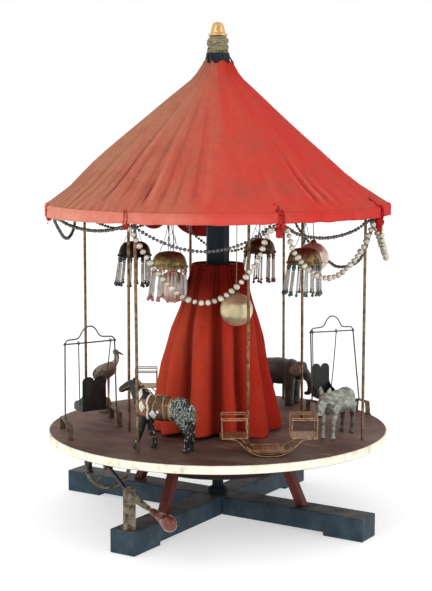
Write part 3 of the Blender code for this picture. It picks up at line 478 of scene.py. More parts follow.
def cloth(name, deep, mid, faded, fade_low, fade_high, crease_shade, dirt, ridge_highlight, shade=0.0):
    """Cotton: faded where it faces the sun, with painted shade in its creases, painted highlights on its ridges,
    blotches and a weave.
    """
    f = Finish(name, mid, 0.92, gloss=0.05)
    f.shader.inputs["Sheen Weight"].default_value = 0.03
    f.shader.inputs["Sheen Roughness"].default_value = 0.5
    lay = f.mark("lay")[2]
    split = f.add("ShaderNodeSeparateXYZ", Vector=lay)
    side = f.math("ADD", f.math("MULTIPLY", split.outputs["X"], LIT.x),
                  f.math("MULTIPLY", split.outputs["Y"], LIT.y))
    drawn = f.add("ShaderNodeMapping", Vector=lay, Scale=(1, 1, 0.35))
    streak = f.add("ShaderNodeTexNoise", Vector=drawn.outputs["Vector"], Scale=5.5, Detail=6.0, Roughness=0.6)
    drift = f.math("ADD", side, f.math("MULTIPLY", f.math("SUBTRACT", streak.outputs["Fac"], 0.5), 1.1))
    color = f.ramp(f.steps(drift, fade_low, fade_high), [(0.0, deep), (0.45, mid), (1.0, faded)])
    soil = f.math("MULTIPLY", f.steps(f.grain(22, 7, rough=0.62), 0.47, 0.72), dirt)
    color = f.mix(soil, color, tuple(0.45 * a + 0.55 * b for a, b in zip(mid, (0.17, 0.10, 0.06))))
    fold = f.mark("fold")[1]
    # painted shade: low fold values, the creases, are darkened towards a near-black red
    color = f.mix(f.math("MULTIPLY", f.steps(fold, 0.47, 0.05), crease_shade), color, tuple(c * 0.25 for c in deep))
    # painted highlight: high fold values, the ridges, are lightened to a pale salmon
    color = f.mix(f.math("MULTIPLY", f.steps(fold, 0.54, 0.85), ridge_highlight), color, (0.80, 0.34, 0.23))
    shaded = f.math("MULTIPLY", f.steps(split.outputs["Z"], 1.78, 2.10), shade)
    color = f.mix(shaded, color, tuple(c * 0.3 for c in deep))
    mottle = f.steps(f.grain(120, 6, rough=0.7), 0.30, 0.75)
    color = f.mix(f.math("MULTIPLY", mottle, 0.22), color, tuple(c * 0.35 for c in mid))
    uv = f.add("ShaderNodeSeparateXYZ", Vector=f.add("ShaderNodeUVMap").outputs["UV"])
    warp = f.math("SINE", f.math("MULTIPLY", uv.outputs["X"], THREAD_WAVE))
    weft = f.math("SINE", f.math("MULTIPLY", uv.outputs["Y"], THREAD_WAVE))
    threads = f.math("ADD", f.math("MULTIPLY", warp, 0.2), f.math("MULTIPLY", weft, 0.2))
    slub = f.math("ADD", threads, f.math("MULTIPLY", f.grain(260, 5), 1.0))
    crinkle = f.math("ADD", slub, f.math("MULTIPLY", f.grain(75, 5, rough=0.55), 2.4))
    return f.done(color, None, crinkle, 0.0010, 0.5)


roof_cloth = cloth("faded_roof_cotton", (0.58, 0.036, 0.026), (0.60, 0.066, 0.044), (0.44, 0.190, 0.112),
                   -0.95, 0.85, 0.85, 0.60, 0.55)
band_cloth = cloth("hoop_band_cotton", (0.64, 0.036, 0.030), (0.70, 0.090, 0.066), (0.82, 0.310, 0.220),
                   -0.75, 0.75, 0.5, 0.25, 0.0)
skirt_cloth = cloth("skirt_cotton", (0.40, 0.017, 0.009), (0.56, 0.042, 0.020), (0.62, 0.100, 0.045),
                    -1.3, 1.5, 0.80, 0.35, 0.0, 0.85)
dark_red_cloth = cloth("dark_lining_cotton", (0.26, 0.010, 0.009), (0.34, 0.016, 0.014), (0.40, 0.030, 0.022),
                       -1.3, 1.5, 0.5, 0.3, 0.0)
tie_cloth = cloth("tie_rag", (0.40, 0.016, 0.014), (0.52, 0.030, 0.026), (0.56, 0.070, 0.055),
                  -0.9, 0.9, 0.8, 0.3, 0.0)
print("made five cottons")

# %% [markdown]
# ## The roof
# The roof is one gathered sheet over eight bowed ribs. It starts as a spun skin from the hoop up to the tied top.
# Then every vertex is moved: inwards between two ribs, where the cotton spans straight, outwards where it
# bellies on the bleached side, into the creases listed below, and in small pleats near the top, where it is
# bunched.

# %% Roof
ROOF = [(0.2496, 0.4630), (0.2430, 0.4668), (0.2370, 0.4706), (0.2230, 0.4805), (0.2090, 0.4905), (0.1900, 0.5068),
        (0.1700, 0.5240), (0.1510, 0.5405), (0.1370, 0.5527), (0.1230, 0.5650), (0.1080, 0.5782), (0.0930, 0.5916),
        (0.0780, 0.6050), (0.0620, 0.6188), (0.0470, 0.6316), (0.0370, 0.6402), (0.0290, 0.6500), (0.0240, 0.6585),
        (0.0205, 0.6645)]
# each crease of the roof: bearing, depth in mm, half width in degrees, how far up it runs (0 to 1)
CREASES = [(-52, 1.2, 2.6, 0.5), (-46, 1.6, 2.2, 0.7), (-40, 1.6, 2.2, 0.5), (-35, 1.8, 2.0, 0.6),
           (-30, 2.0, 1.9, 0.5), (-24, 2.2, 2.1, 0.8), (-18.5, 2.2, 2.0, 0.5), (-13, 2.6, 1.8, 0.75),
           (-9, 3.6, 1.7, 0.9), (-5.2, 2.3, 1.4, 0.4), (-2, 2.6, 1.3, 0.6), (0.6, 2.6, 0.9, 0.3),
           (5.6, 2.4, 1.3, 0.8), (7.6, 4.2, 1.1, 0.4), (13.5, 2.2, 2.2, 1.0), (18.5, 2.4, 2.2, 0.6),
           (24, 2.0, 2.3, 1.0), (41, 0.9, 4.5, 1.0), (57, 1.3, 2.2, 0.45), (67, 3.0, 1.0, 0.5),
           (71.5, 2.3, 1.1, 0.35), (76.5, 1.8, 1.4, 0.3), (85, 1.4, 1.8, 0.4), (103, 2.2, 2.0, 0.5),
           (112, 1.6, 1.6, 0.3), (127, 2.4, 2.2, 0.7), (133, 2.0, 1.4, 0.35), (149, 1.5, 2.4, 0.5),
           (160, 2.6, 1.6, 0.6), (168, 1.6, 1.4, 0.3), (190, 2.0, 1.8, 0.45), (203, 2.4, 2.2, 0.8),
           (215, 1.7, 1.5, 0.35), (240, 2.4, 1.9, 0.6), (252, 1.8, 2.2, 0.4), (262, 2.6, 1.6, 0.7),
           (284, 2.0, 2.0, 0.5), (296, 2.6, 1.8, 0.65)]


def ease(t):
    t = max(0.0, min(1.0, t))
    return t * t * (3 - 2 * t)


def between_ribs(azimuth):
    """0 on a rib and 1 halfway to the next one, with the gap's own width."""
    for a, b in zip(RIB_AZIMUTH, RIB_AZIMUTH[1:] + (RIB_AZIMUTH[0] + 360,)):
        t = ((azimuth - a) % 360) / (b - a)
        if t <= 1:
            return 1 - (2 * t - 1) ** 2, b - a
    return 0.0, 45.0


def roof_point(r, azimuth, z):
    """Where the roof's cotton lies, and how far out of its folds it stands (0 to 1), with painted shadow and highlight.
    """
    out = polar(1, azimuth, 0)
    lit = max(0.0, out.dot(LIT))
    up = (z - 0.4630) / (0.6645 - 0.4630)
    slack, gap = between_ribs(azimuth)
    free = ease(up * 4.0) * ease((1 - up) * 2.2)
    chord = 1 - math.cos(math.radians(gap / 2))
    span = r * (1 - 0.50 * chord * free * slack * (1 - 0.6 * lit))
    a = math.radians(azimuth)
    lean = 1.2 * math.sin(3 * a) * up
    dent = shadow = 0.0
    for bearing, depth, width, reach in CREASES:
        off = (azimuth + lean - bearing + 180) % 360 - 180
        if abs(off) < 3.2 * width:
            run = ease(up * 11) * ease((reach - up) * 2.6 + 0.15)
            groove = math.exp(-(off / width) ** 2)
            lip = math.exp(-((abs(off) - 1.9 * width) / width) ** 2)
            dent += depth * run * (groove - 0.55 * lip)
            low = run * ease(1.25 - up / (0.6 * reach))
            shadow += 0.15 * max(0.0, depth - 1.3) * low * math.exp(-(off / (0.4 * width)) ** 2)
    dent *= 0.25 + 0.75 * r / 0.25
    span -= 0.0011 * dent
    ridge = max(math.exp(-(((azimuth - rib + 180) % 360 - 180) / 0.9) ** 2) for rib in RIB_AZIMUTH)
    span += 0.0014 * ridge * ease((0.8 - up) * 3) * (1 + 0.5 * noise.noise(Vector((a * 30, z * 160, 0))))
    pucker = math.sin(97 * a + 2.0 * math.sin(11 * a))
    span += 0.0011 * pucker * ease(1 - up * 7) * row_free(z) * (0.15 + 0.85 * lit)
    span += 0.0010 * ease((0.105 - r) / 0.08) * math.sin(29 * a + 2.0 * math.sin(5 * a))
    span += 0.0016 * free * noise.noise(Vector((math.sin(a) * 2.2, math.cos(a) * 2.2, z * 14)))
    span += 0.0007 * noise.noise(Vector((math.sin(a) * 9, math.cos(a) * 9, z * 40))) * ease(up * 8)
    belly = 0.0100 * lit * ease(up * 3) * ease((1 - up) * 1.6)
    ragged = 0.0022 * math.sin(9 * a + math.sin(4 * a)) * ease((up - 0.96) / 0.04)
    # the fold value also carries painted shadow in the deep creases and a painted highlight on the puckers of the
    # bleached side
    fold = 0.5 - 0.075 * dent - shadow + 0.25 * pucker * ease(1 - up * 7) * lit
    return polar(span + belly, azimuth, z + ragged - tuck(azimuth, z)), fold


def tuck(azimuth, z):
    """The roof is rolled a little lower over the hoop on the crank side."""
    return 0.0042 * max(0.0, math.cos(math.radians(azimuth - 32.3))) * ease((0.4760 - z) / 0.0130)


def row_free(z):
    return ease((z - 0.4640) / 0.004)


def skin(name, rows, steps, point, wall, finish, replaced):
    """A sheet round the axis: spun from its profile, then every vertex is put where point() says."""
    bm = bmesh.new()
    verts = [bm.verts.new((r, 0, z)) for r, z in rows]
    edges = [bm.edges.new(pair) for pair in zip(verts, verts[1:])]
    bmesh.ops.spin(bm, geom=verts + edges, cent=(0, 0, 0), axis=(0, 0, 1), angle=2 * math.pi, steps=steps,
                   use_merge=True)
    uv = bm.loops.layers.uv.new("UVMap")
    lay = bm.verts.layers.float_vector.new("lay")
    crease = bm.verts.layers.float.new("fold")
    for face in bm.faces:
        angles = [math.atan2(loop.vert.co.x, -loop.vert.co.y) for loop in face.loops]
        for loop, a in zip(face.loops, angles):
            if max(angles) - min(angles) > math.pi and a < 0:
                a += 2 * math.pi
            loop[uv].uv = (a * 0.12, loop.vert.co.z * 1.25)
    for v in bm.verts:
        r, z = math.hypot(v.co.x, v.co.y), v.co.z
        azimuth = math.degrees(math.atan2(v.co.x, -v.co.y))
        v[lay] = Vector((v.co.x / r, v.co.y / r, z * 6))
        v.co, v[crease] = point(r, azimuth, z)
    bmesh.ops.recalc_face_normals(bm, faces=bm.faces[:])
    if sum(f.normal.dot(f.calc_center_median() * Vector((1, 1, 0))) for f in bm.faces) < 0:
        bmesh.ops.reverse_faces(bm, faces=bm.faces[:])
    area = sum(f.calc_area() for f in bm.faces)
    mesh = bpy.data.meshes.new(name)
    bm.to_mesh(mesh)
    bm.free()
    return hang(name, mesh, finish, wall, replaced), area


def hang(name, mesh, finish, wall, replaced):
    """A cloth piece: smooth, with a live Solidify for its thickness."""
    mesh.materials.append(finish)
    ob = bpy.data.objects.new(name, mesh)
    bpy.context.scene.collection.objects.link(ob)
    mesh.shade_smooth()
    wall_mod = ob.modifiers.new("cloth_thickness", "SOLIDIFY")
    wall_mod.thickness = wall
    wall_mod.offset = -1
    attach(ob, "carousel")
    if replaced:
        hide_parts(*replaced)
    return ob


roof, roof_area = skin("roof_cloth", ROOF, 480, roof_point, 0.0009, roof_cloth, ["canopy"])
print("roof area", round(roof_area, 4), "m2")

# %% [markdown]
# ## The hoop's band
# The roof's edge is turned down over a hoop and stitched into a short band. It is nearly upright, a little wavy,
# and its lower edge is rolled, so it gets its own thicker sheet.

# %% Hoop band
BAND = [(0.2464, 0.4462), (0.2496, 0.4458), (0.2506, 0.4470), (0.2505, 0.4500), (0.2502, 0.4540), (0.2503, 0.4580),
        (0.2506, 0.4612), (0.2500, 0.4636), (0.2470, 0.4644)]


def band_point(r, azimuth, z):
    a = math.radians(azimuth)
    wave = 0.0006 * math.sin(31 * a + math.sin(12 * a))
    pull = 0.0005 * math.sin(88 * a + 2 * math.sin(9 * a)) * math.sin(math.pi * max(0, z - 0.446) / 0.018)
    rolled = 0.0013 * noise.noise(Vector((math.sin(a) * 14, math.cos(a) * 14, 0.3))) * ease((0.452 - z) / 0.006)
    dip = -tuck(azimuth, z) * ease((z - 0.4570) / 0.006) + rolled
    right = max(0.0, math.sin(math.radians(azimuth - 32.3)))
    dip += 0.0030 * right * ease((0.4500 - z) / 0.0050)
    # the fold value is low where the band is pulled in, so those waves get painted shade
    return polar(r + wave * ease((0.462 - z) / 0.016) + pull, azimuth, z + dip), 0.6 + 300 * pull


band, band_area = skin("hoop_band", BAND, 360, band_point, 0.0010, band_cloth, ["canopy_ring"])
print("band area", round(band_area, 4), "m2")

# %% [markdown]
# ## The skirt
# Under the collar hangs a gathered tube of the same cotton. Its pleats are small where the thread draws them in,
# then run together into eleven deep uneven folds. Each fold's ridge and valley has a bearing at the top and one
# at the hem, because folds drift sideways as they fall. The cloth hangs wider on one side and towards the front.

# %% Skirt
SKIRT_ROWS = [(0.0322, 0.3690), (0.0328, 0.3720), (0.0342, 0.3748), (0.0360, 0.3752), (0.0370, 0.3735),
              (0.0372, 0.3700), (0.0380, 0.3660), (0.0390, 0.3600), (0.0410, 0.3520), (0.0440, 0.3430),
              (0.0470, 0.3330), (0.0500, 0.3230), (0.0530, 0.3120), (0.0560, 0.3020), (0.0585, 0.2920),
              (0.0612, 0.2820), (0.0640, 0.2720), (0.0665, 0.2620), (0.0690, 0.2520), (0.0715, 0.2420),
              (0.0740, 0.2320), (0.0762, 0.2220), (0.0785, 0.2120), (0.0808, 0.2020), (0.0830, 0.1920),
              (0.0852, 0.1820), (0.0875, 0.1720), (0.0900, 0.1620), (0.0925, 0.1540), (0.0950, 0.1460),
              (0.0965, 0.1400), (0.0985, 0.1366)]
NARROW_SIDE = ((0.3735, 0.0372), (0.3650, 0.0382), (0.3560, 0.0415), (0.3260, 0.0500), (0.2977, 0.0605),
               (0.2694, 0.0690), (0.2467, 0.0712), (0.2198, 0.0777), (0.1900, 0.0850), (0.1617, 0.0908),
               (0.1366, 0.0955))
WIDE_SIDE = ((0.3735, 0.0372), (0.3650, 0.0382), (0.3560, 0.0415), (0.3160, 0.0535), (0.2786, 0.0710),
             (0.2312, 0.0855), (0.2028, 0.0910), (0.1900, 0.0925), (0.1560, 0.1040), (0.1366, 0.1045))
FOLDS = [(-28, -10, 1.0), (-11, 1, 0.0), (8, 17, 0.95), (32, 32, -0.15), (46, 43, 0.85), (60, 52, 0.05),
         (84, 68, 1.0), (101, 90, 0.35), (110, 104, 0.9), (124, 118, 0.2), (138, 134, 1.0), (156, 152, 0.0),
         (171, 169, 0.9), (186, 187, 0.1), (203, 204, 1.0), (220, 222, 0.0), (238, 240, 0.95), (256, 258, 0.1),
         (272, 275, 1.0), (290, 296, 0.1), (310, 322, 0.9), (322, 336, 0.25)]


def table(rows, x):
    for (x0, y0), (x1, y1) in zip(rows, rows[1:]):
        if (x - x0) * (x - x1) <= 0:
            return y0 + (y1 - y0) * (x - x0) / (x1 - x0)
    return rows[0][1] if abs(x - rows[0][0]) < abs(x - rows[-1][0]) else rows[-1][1]


def skirt_point(r, azimuth, z):
    a = math.radians(azimuth)
    down = max(0.0, min(1.0, (0.3600 - z) / (0.3600 - 0.1366)))
    stops = [(top + (hem - top) * down, high) for top, hem, high in FOLDS]
    stops.append((stops[0][0] + 360, stops[0][1]))
    turn = (azimuth - stops[0][0]) % 360 + stops[0][0]
    ridge = 1.0
    for (a0, h0), (a1, h1) in zip(stops, stops[1:]):
        if a0 <= turn <= a1:
            ridge = h0 + (h1 - h0) * ease((turn - a0) / (a1 - a0))
    wide = 0.5 - 0.5 * math.cos(a - math.radians(122.3))
    reach = r if z > 0.365 else table(NARROW_SIDE, z) * (1 - wide) + table(WIDE_SIDE, z) * wide
    front = max(0.0, math.cos(a - math.radians(32.3)))
    reach += 0.018 * down * front
    deep = 0.031 * ease(down * 1.3) * (1 - ridge) * (0.65 + 0.35 * front)
    fine = math.cos(44 * a + 2 * math.sin(3 * a)) * 0.0012 * ease(1 - down * 3.2) * ease((r - 0.0340) / 0.0025)
    crumple = 0.0022 * ease(down * 2) * noise.noise(Vector((math.sin(a) * 4, math.cos(a) * 4, z * 22)))
    hem = 0.0030 * math.sin(3 * a + 1.0) * ease((0.17 - z) / 0.03)
    # the fold value is low in the valleys between ridges and in the small pleats, so these get painted shade
    return polar(max(min(r, 0.0330), reach - deep) + fine + crumple, azimuth, z + hem), ridge + 300 * min(0.0, fine)


skirt, skirt_area = skin("gathered_skirt", SKIRT_ROWS, 400, skirt_point, 0.0008, skirt_cloth, ["skirt"])
print("skirt area", round(skirt_area, 4), "m2")

# %% [markdown]
# ## A loose hem inside the back
# At the back two short stretches of the roof's lining have come loose and hang in scallops below the hoop. Each is
# a small grid whose lower edge sags between its ties.

# %% Loose lining


def scallop(bm, start, end, drop, columns=16, rows=6):
    """Adds one hanging scallop between two ties to the mesh."""
    lay, crease = bm.verts.layers.float_vector["lay"], bm.verts.layers.float["fold"]
    for v in bmesh.ops.create_grid(bm, x_segments=columns, y_segments=rows, size=0.5)["verts"]:
        t, d = v.co.x + 0.5, 0.5 - v.co.y
        azimuth = start + (end - start) * t
        sag = max(0.0, 1 - (2 * t - 1) ** 2) ** 0.38
        z = 0.4495 - d * (0.0030 + drop * sag)
        v.co = polar(0.2455 - 0.0050 * d * sag + 0.0009 * math.sin(26 * t) * d, azimuth, z)
        v[lay] = Vector((v.co.x / 0.25, v.co.y / 0.25, z * 6))
        # painted shade: the fold value stays low and follows the waves, so the lining is darkened in waves along its
        # length
        v[crease] = 0.30 + 0.15 * math.sin(26 * t)


bm = bmesh.new()
bm.loops.layers.uv.new("UVMap")
bm.verts.layers.float_vector.new("lay")
bm.verts.layers.float.new("fold")
for start, end, drop in ((205.5, 230.4, 0.0500), (231.6, 244, 0.0360)):
    scallop(bm, start, end, drop)
for face in bm.faces:
    for loop in face.loops:
        p = loop.vert.co
        loop[bm.loops.layers.uv.active].uv = (math.atan2(p.x, -p.y) * 0.25, p.z)
lining_area = sum(f.calc_area() for f in bm.faces)
mesh = bpy.data.meshes.new("loose_lining")
bm.to_mesh(mesh)
bm.free()
lining = hang("loose_lining", mesh, dark_red_cloth, 0.0006, [])
print("lining area", round(lining_area, 5), "m2")

# %% [markdown]
# ## Wires
# Swings, boats and hangers are bent wire. A wire is drawn as a Blender curve with a round bevel, turned into a
# mesh at once and added to the piece's bmesh, which keeps each ride one object.

# %% Wire helper


def wire(bm, points, radius, closed=False, radii=None, sides=2, smooth=True):
    data = bpy.data.curves.new("wire", "CURVE")
    data.dimensions = "3D"
    data.bevel_depth = 1.0 if radii else radius
    data.bevel_resolution = sides
    data.use_fill_caps = True
    data.resolution_u = 4
    spline = data.splines.new("NURBS" if smooth and len(points) > 3 else "POLY")
    spline.points.add(len(points) - 1)
    for i, p in enumerate(points):
        spline.points[i].co = (*p, 1)
        if radii:
            spline.points[i].radius = radii[i]
    spline.use_cyclic_u = closed
    if spline.type == "NURBS":
        spline.order_u = 3
        spline.use_endpoint_u = not closed
    ob = bpy.data.objects.new("wire", data)
    mesh = bpy.data.meshes.new_from_object(ob)
    bm.from_mesh(mesh)
    bpy.data.objects.remove(ob, do_unlink=True)
    bpy.data.curves.remove(data)
    bpy.data.meshes.remove(mesh)


def slab(bm, outline, origin, u, v, w, depth):
    """A flat plate: an outline in u and v, extruded along w."""
    o, u, v, w = Vector(origin), Vector(u), Vector(v), Vector(w).normalized()
    face = bm.faces.new([bm.verts.new(o + u * a + v * b - w * depth / 2) for a, b in outline])
    grown = bmesh.ops.extrude_face_region(bm, geom=[face])
    top = [g for g in grown["geom"] if isinstance(g, bmesh.types.BMVert)]
    bmesh.ops.translate(bm, vec=w * depth, verts=top)


def bulb(bm, centre, size, forward=(1, 0, 0), u=16, v=12):
    """An egg: size is its half-lengths forward, sideways and up."""
    f = Vector(forward).normalized()
    s = Vector((0, 0, 1)).cross(f).normalized() if abs(f.z) < 0.99 else Vector((1, 0, 0))
    t = f.cross(s)
    place = Matrix.Translation(Vector(centre)) @ Matrix((f, s, t)).transposed().to_4x4() @ Matrix.Diagonal((*size, 1))
    bmesh.ops.create_uvsphere(bm, u_segments=u, v_segments=v, radius=1.0, matrix=place)


# %% [markdown]
# ## The two swings
# Each swing is one bent wire frame with a rounded crown, standing on two strips folded like low tables. The bar
# below the crown carries a chair cut from black sheet metal, with a two-lobed back. The chair is on its own body,
# so it can swing about the bar.

# %% Swings
SWINGS = {
    "left": dict(outer=(-0.1682, -0.1480), inner=(-0.1347, -0.0733), foot_in=(-0.1329, -0.0722),
                 foot_out=(-0.1690, -0.1485), strips=(((-0.1655, -0.0410), (-0.1200, -0.0820)),
                                                      ((-0.1796, -0.1410), (-0.1231, -0.1945))),
                 face=(-0.913, 0.409, 0), chair=(0.24, 0.72), hung=(0.085, 0.73), seat=0.1590),
    "right": dict(outer=(0.1182, 0.2072), inner=(0.0738, 0.1508), foot_in=(0.0766, 0.1525),
                  foot_out=(0.1331, 0.2012), strips=(((0.0649, 0.1593), (0.0950, 0.1417)),
                                                     ((0.1246, 0.2071), (0.1542, 0.1903))),
                  face=(0.786, -0.618, 0), chair=(0.08, 0.50), hung=(0.045, 0.60), seat=0.1580),
}
BAR_Z = 0.2596
STRIP_Z = 0.1530
STAND = 0.1333
CROWN = ((0.0, -0.0004), (0.02, 0.0058), (0.14, 0.0064), (0.27, 0.0070), (0.33, 0.0110), (0.36, 0.0160), (0.40, 0.0205),
         (0.455, 0.0233), (0.51, 0.0240), (0.57, 0.0228), (0.63, 0.0195), (0.675, 0.0145), (0.71, 0.0090),
         (0.76, 0.0060), (0.88, 0.0060), (0.98, 0.0058), (1.0, -0.0004))


class SwingPlace:
    """Points in a swing's own plane: t runs along its bar from the inner end, w faces out, z is the height."""

    def __init__(self, facts):
        self.inner = Vector((*facts["inner"], 0))
        run = Vector((*facts["outer"], 0)) - self.inner
        self.way, self.span = run.normalized(), run.length
        self.face = Vector(facts["face"]).normalized()

    def at(self, t, z, w=0.0):
        return self.inner + self.way * (self.span * t) + self.face * w + UP * z


def bar_ring(at, t, radius, count):
    """Points of a small ring round the bar."""
    turns = [2 * math.pi * k / count for k in range(count)]
    return [at(t, BAR_Z + radius * math.sin(turn), radius * math.cos(turn)) for turn in turns]


def swing_frame(tag):
    facts = SWINGS[tag]
    at = SwingPlace(facts).at
    bm = bmesh.new()
    foot_in, foot_out = (Vector((*facts[key], STRIP_Z - 0.0006)) for key in ("foot_in", "foot_out"))
    bar = [(-0.03, -0.0003), (0.0, 0.0), (0.5, -0.0003), (1.0, 0.0), (1.03, -0.0003)]
    wire(bm, [at(t, BAR_Z + rise) for t, rise in bar], 0.0011, smooth=False)
    for foot, t in ((foot_in, 0.0), (foot_out, 1.0)):
        end = at(t, BAR_Z)
        wire(bm, [foot, foot * 0.66 + end * 0.34, foot * 0.3 + end * 0.7, at(t, BAR_Z + 0.0004)], 0.00115)
        wire(bm, bar_ring(at, t, 0.0021, 9), 0.0008, closed=True, sides=1)
    wire(bm, [at(t, BAR_Z + rise) for t, rise in CROWN], 0.00105)
    for p, q in facts["strips"]:
        p, q = Vector((*p, STAND)), Vector((*q, STAND))
        run, length, rise, t = (q - p).normalized(), (q - p).length, STRIP_Z - STAND, 0.0013
        bent = [(-0.0045, 0), (0.0010, 0), (0.0030, rise - t - 0.001), (0.0044, rise - t), (length - 0.0044, rise - t),
                (length - 0.0030, rise - t - 0.001), (length - 0.0010, 0), (length + 0.0025, 0),
                (length + 0.0025, t), (length, t), (length - 0.0020, rise - 0.0012), (length - 0.0036, rise),
                (0.0036, rise), (0.0020, rise - 0.0012), (0, t), (-0.0045, t)]
        slab(bm, bent, p, run, UP, UP.cross(run), 0.0080)
    frame_piece = piece("swing_wire_" + tag, bm, wire_finish, "carousel", ["swing_frame_" + tag])
    frame_piece.data.materials.append(strip_finish)
    for face in frame_piece.data.polygons:
        face.material_index = 1 if face.center.z < STRIP_Z + 0.0003 else 0
    return frame_piece


def swing_chair(tag):
    facts = SWINGS[tag]
    place = SwingPlace(facts)
    at, face, way = place.at, place.face, place.way
    low, high = facts["chair"]
    seat = facts["seat"]
    half, mid = place.span * (high - low) / 2, (low + high) / 2
    lobe = (half - 0.0004) / 2
    bm = bmesh.new()
    back = [(-half, 0.0), (half, 0.0)]
    for centre in (lobe, -lobe):
        for k in range(11):
            turn = math.pi * k / 10
            back.append((centre + lobe * math.cos(turn), 0.0435 + 0.0075 * math.sin(turn)))
    slab(bm, back, at(mid, seat, -0.0082), way, UP, face, 0.0009)
    slab(bm, [(-half, 0.0), (half, 0.0), (half, 0.0009), (-half, 0.0009)], at(mid, seat, 0.0042), way, UP, face, 0.0262)
    cheek = [(-0.0086, 0.0), (0.0165, 0.0), (0.0183, 0.0025), (0.0186, 0.0070), (0.0165, 0.0110), (0.0125, 0.0135),
             (0.0060, 0.0150), (0.0010, 0.0165), (-0.0040, 0.0195), (-0.0086, 0.0240)]
    for t, inside in ((low, 1), (high, -1)):
        slab(bm, cheek, at(t, seat) + way * 0.00045 * inside, face, UP, way, 0.0009)
    for t_low, t_high in zip((low, high), facts["hung"]):
        wire(bm, bar_ring(at, t_high, 0.0027, 10), 0.0007, closed=True, sides=1)
        wire(bm, [at(t_high, BAR_Z - 0.0027), at(t_high * 0.6 + t_low * 0.4, seat + 0.0560, 0.0),
                  at(t_low, seat + 0.0170, 0.0), at(t_low, seat + 0.0090, 0.0)], 0.0008, sides=1)
    return piece("swing_chair_" + tag, bm, chair_finish, "seat_" + tag, ["swing_seat_" + tag], 30)


for tag in SWINGS:
    print(swing_frame(tag).name, swing_chair(tag).name)

# %% [markdown]
# ## The two wire boats
# A boat is a pair of curved runners with a floor between them, a flat seat at each end and a little wire pen
# round each seat. All of it is soldered brass wire and sheet, gone brown.

# %% Boats
ARC = ((-0.0640, 0.1585), (-0.0540, 0.1580), (-0.0450, 0.1570), (-0.0405, 0.1540), (-0.0370, 0.1495), (-0.0310, 0.1440),
       (-0.0240, 0.1395), (-0.0170, 0.1362), (-0.0100, 0.13455), (0.0, 0.13455))
BOAT_HALF = 0.0200


def boat(name, node, azimuth, radius, facing):
    out = polar(1, facing, 0)
    way = UP.cross(out)
    mid = polar(radius, azimuth, 0)
    bm = bmesh.new()

    def at(t, w, z):
        return mid + way * t + out * w + UP * z

    arc = list(ARC) + [(-t, z) for t, z in reversed(ARC[:-1])]
    for w in (-BOAT_HALF, BOAT_HALF):
        wire(bm, [at(t, w, z) for t, z in arc], 0.00095)
        wire(bm, [at(t, w * 0.90, z + 0.0026) for t, z in arc[5:-5]], 0.0007)
        wire(bm, [at(-0.0290, w * 0.97, 0.1421), at(0.0290, w * 0.97, 0.1421)], 0.0008, smooth=False)
    for t in (-0.029, -0.010, 0.010, 0.029):
        wire(bm, [at(t, -BOAT_HALF, 0.1419), at(t, BOAT_HALF, 0.1419)], 0.0007, smooth=False, sides=1)
    floor_board = [(-0.0210, -BOAT_HALF), (0.0210, -BOAT_HALF), (0.0210, BOAT_HALF), (-0.0210, BOAT_HALF)]
    slab(bm, floor_board, at(0, 0, 0.1398), way, out, UP, 0.0009)
    for end in (-1, 1):
        seat = [(-0.0175, -BOAT_HALF), (0.0140, -BOAT_HALF), (0.0185, -0.0130), (0.0195, 0.0), (0.0185, 0.0130),
                (0.0140, BOAT_HALF), (-0.0175, BOAT_HALF), (-0.0190, 0.0130), (-0.0190, -0.0130)]
        slab(bm, [(t * end, w) for t, w in seat], at(end * 0.0470, 0, 0.1592), way, out, UP, 0.0011)
        inner_t, outer_t = end * 0.0300, end * 0.0640
        for z, lean in ((0.1862, 0.0008), (0.1836, 0.0)):
            loop = [at(inner_t, -BOAT_HALF, z), at((inner_t + outer_t) / 2, -BOAT_HALF - lean, z),
                    at(outer_t, -BOAT_HALF, z), at(outer_t + end * lean, 0, z), at(outer_t, BOAT_HALF, z),
                    at((inner_t + outer_t) / 2, BOAT_HALF + lean, z), at(inner_t, BOAT_HALF, z),
                    at(inner_t - end * lean, 0, z)]
            wire(bm, loop, 0.00085, closed=True, smooth=False)
        for t in (inner_t, outer_t):
            for w in (-BOAT_HALF, BOAT_HALF):
                wire(bm, [at(t * 0.985, w * 0.97, 0.1592), at(t, w, 0.1864)], 0.0008, smooth=False, sides=1)
    return piece(name, bm, boat_finish, "carousel", [node])


print(boat("rocking_boat_front", "boat_front", 53.0, 0.1945, 33.5).name)
print(boat("rocking_boat_back", "boat_back", 233.0, 0.1945, 213.5).name)

# %% [markdown]
# ## Cast animals
# The animals are small lead castings. Each is put together from eggs and tapering limbs, fused by a voxel remesh
# and smoothed, which gives the soft joins of a casting. The paint is then laid on vertex by vertex: a rule looks
# at where the vertex is in the animal's own frame and names its colour.

# %% Casting helper


def fused(bm, voxel):
    """Melts overlapping closed forms into one skin with a voxel remesh."""
    mesh = bpy.data.meshes.new("loose_forms")
    bm.to_mesh(mesh)
    bm.free()
    ob = bpy.data.objects.new("loose_forms", mesh)
    bpy.context.scene.collection.objects.link(ob)
    melt = ob.modifiers.new("fuse", "REMESH")
    melt.mode = "VOXEL"
    melt.voxel_size = voxel
    solid = bpy.data.meshes.new_from_object(ob.evaluated_get(bpy.context.evaluated_depsgraph_get()))
    one_skin = bmesh.new()
    one_skin.from_mesh(solid)
    bpy.data.objects.remove(ob)
    for old in (mesh, solid):
        bpy.data.meshes.remove(old)
    return one_skin


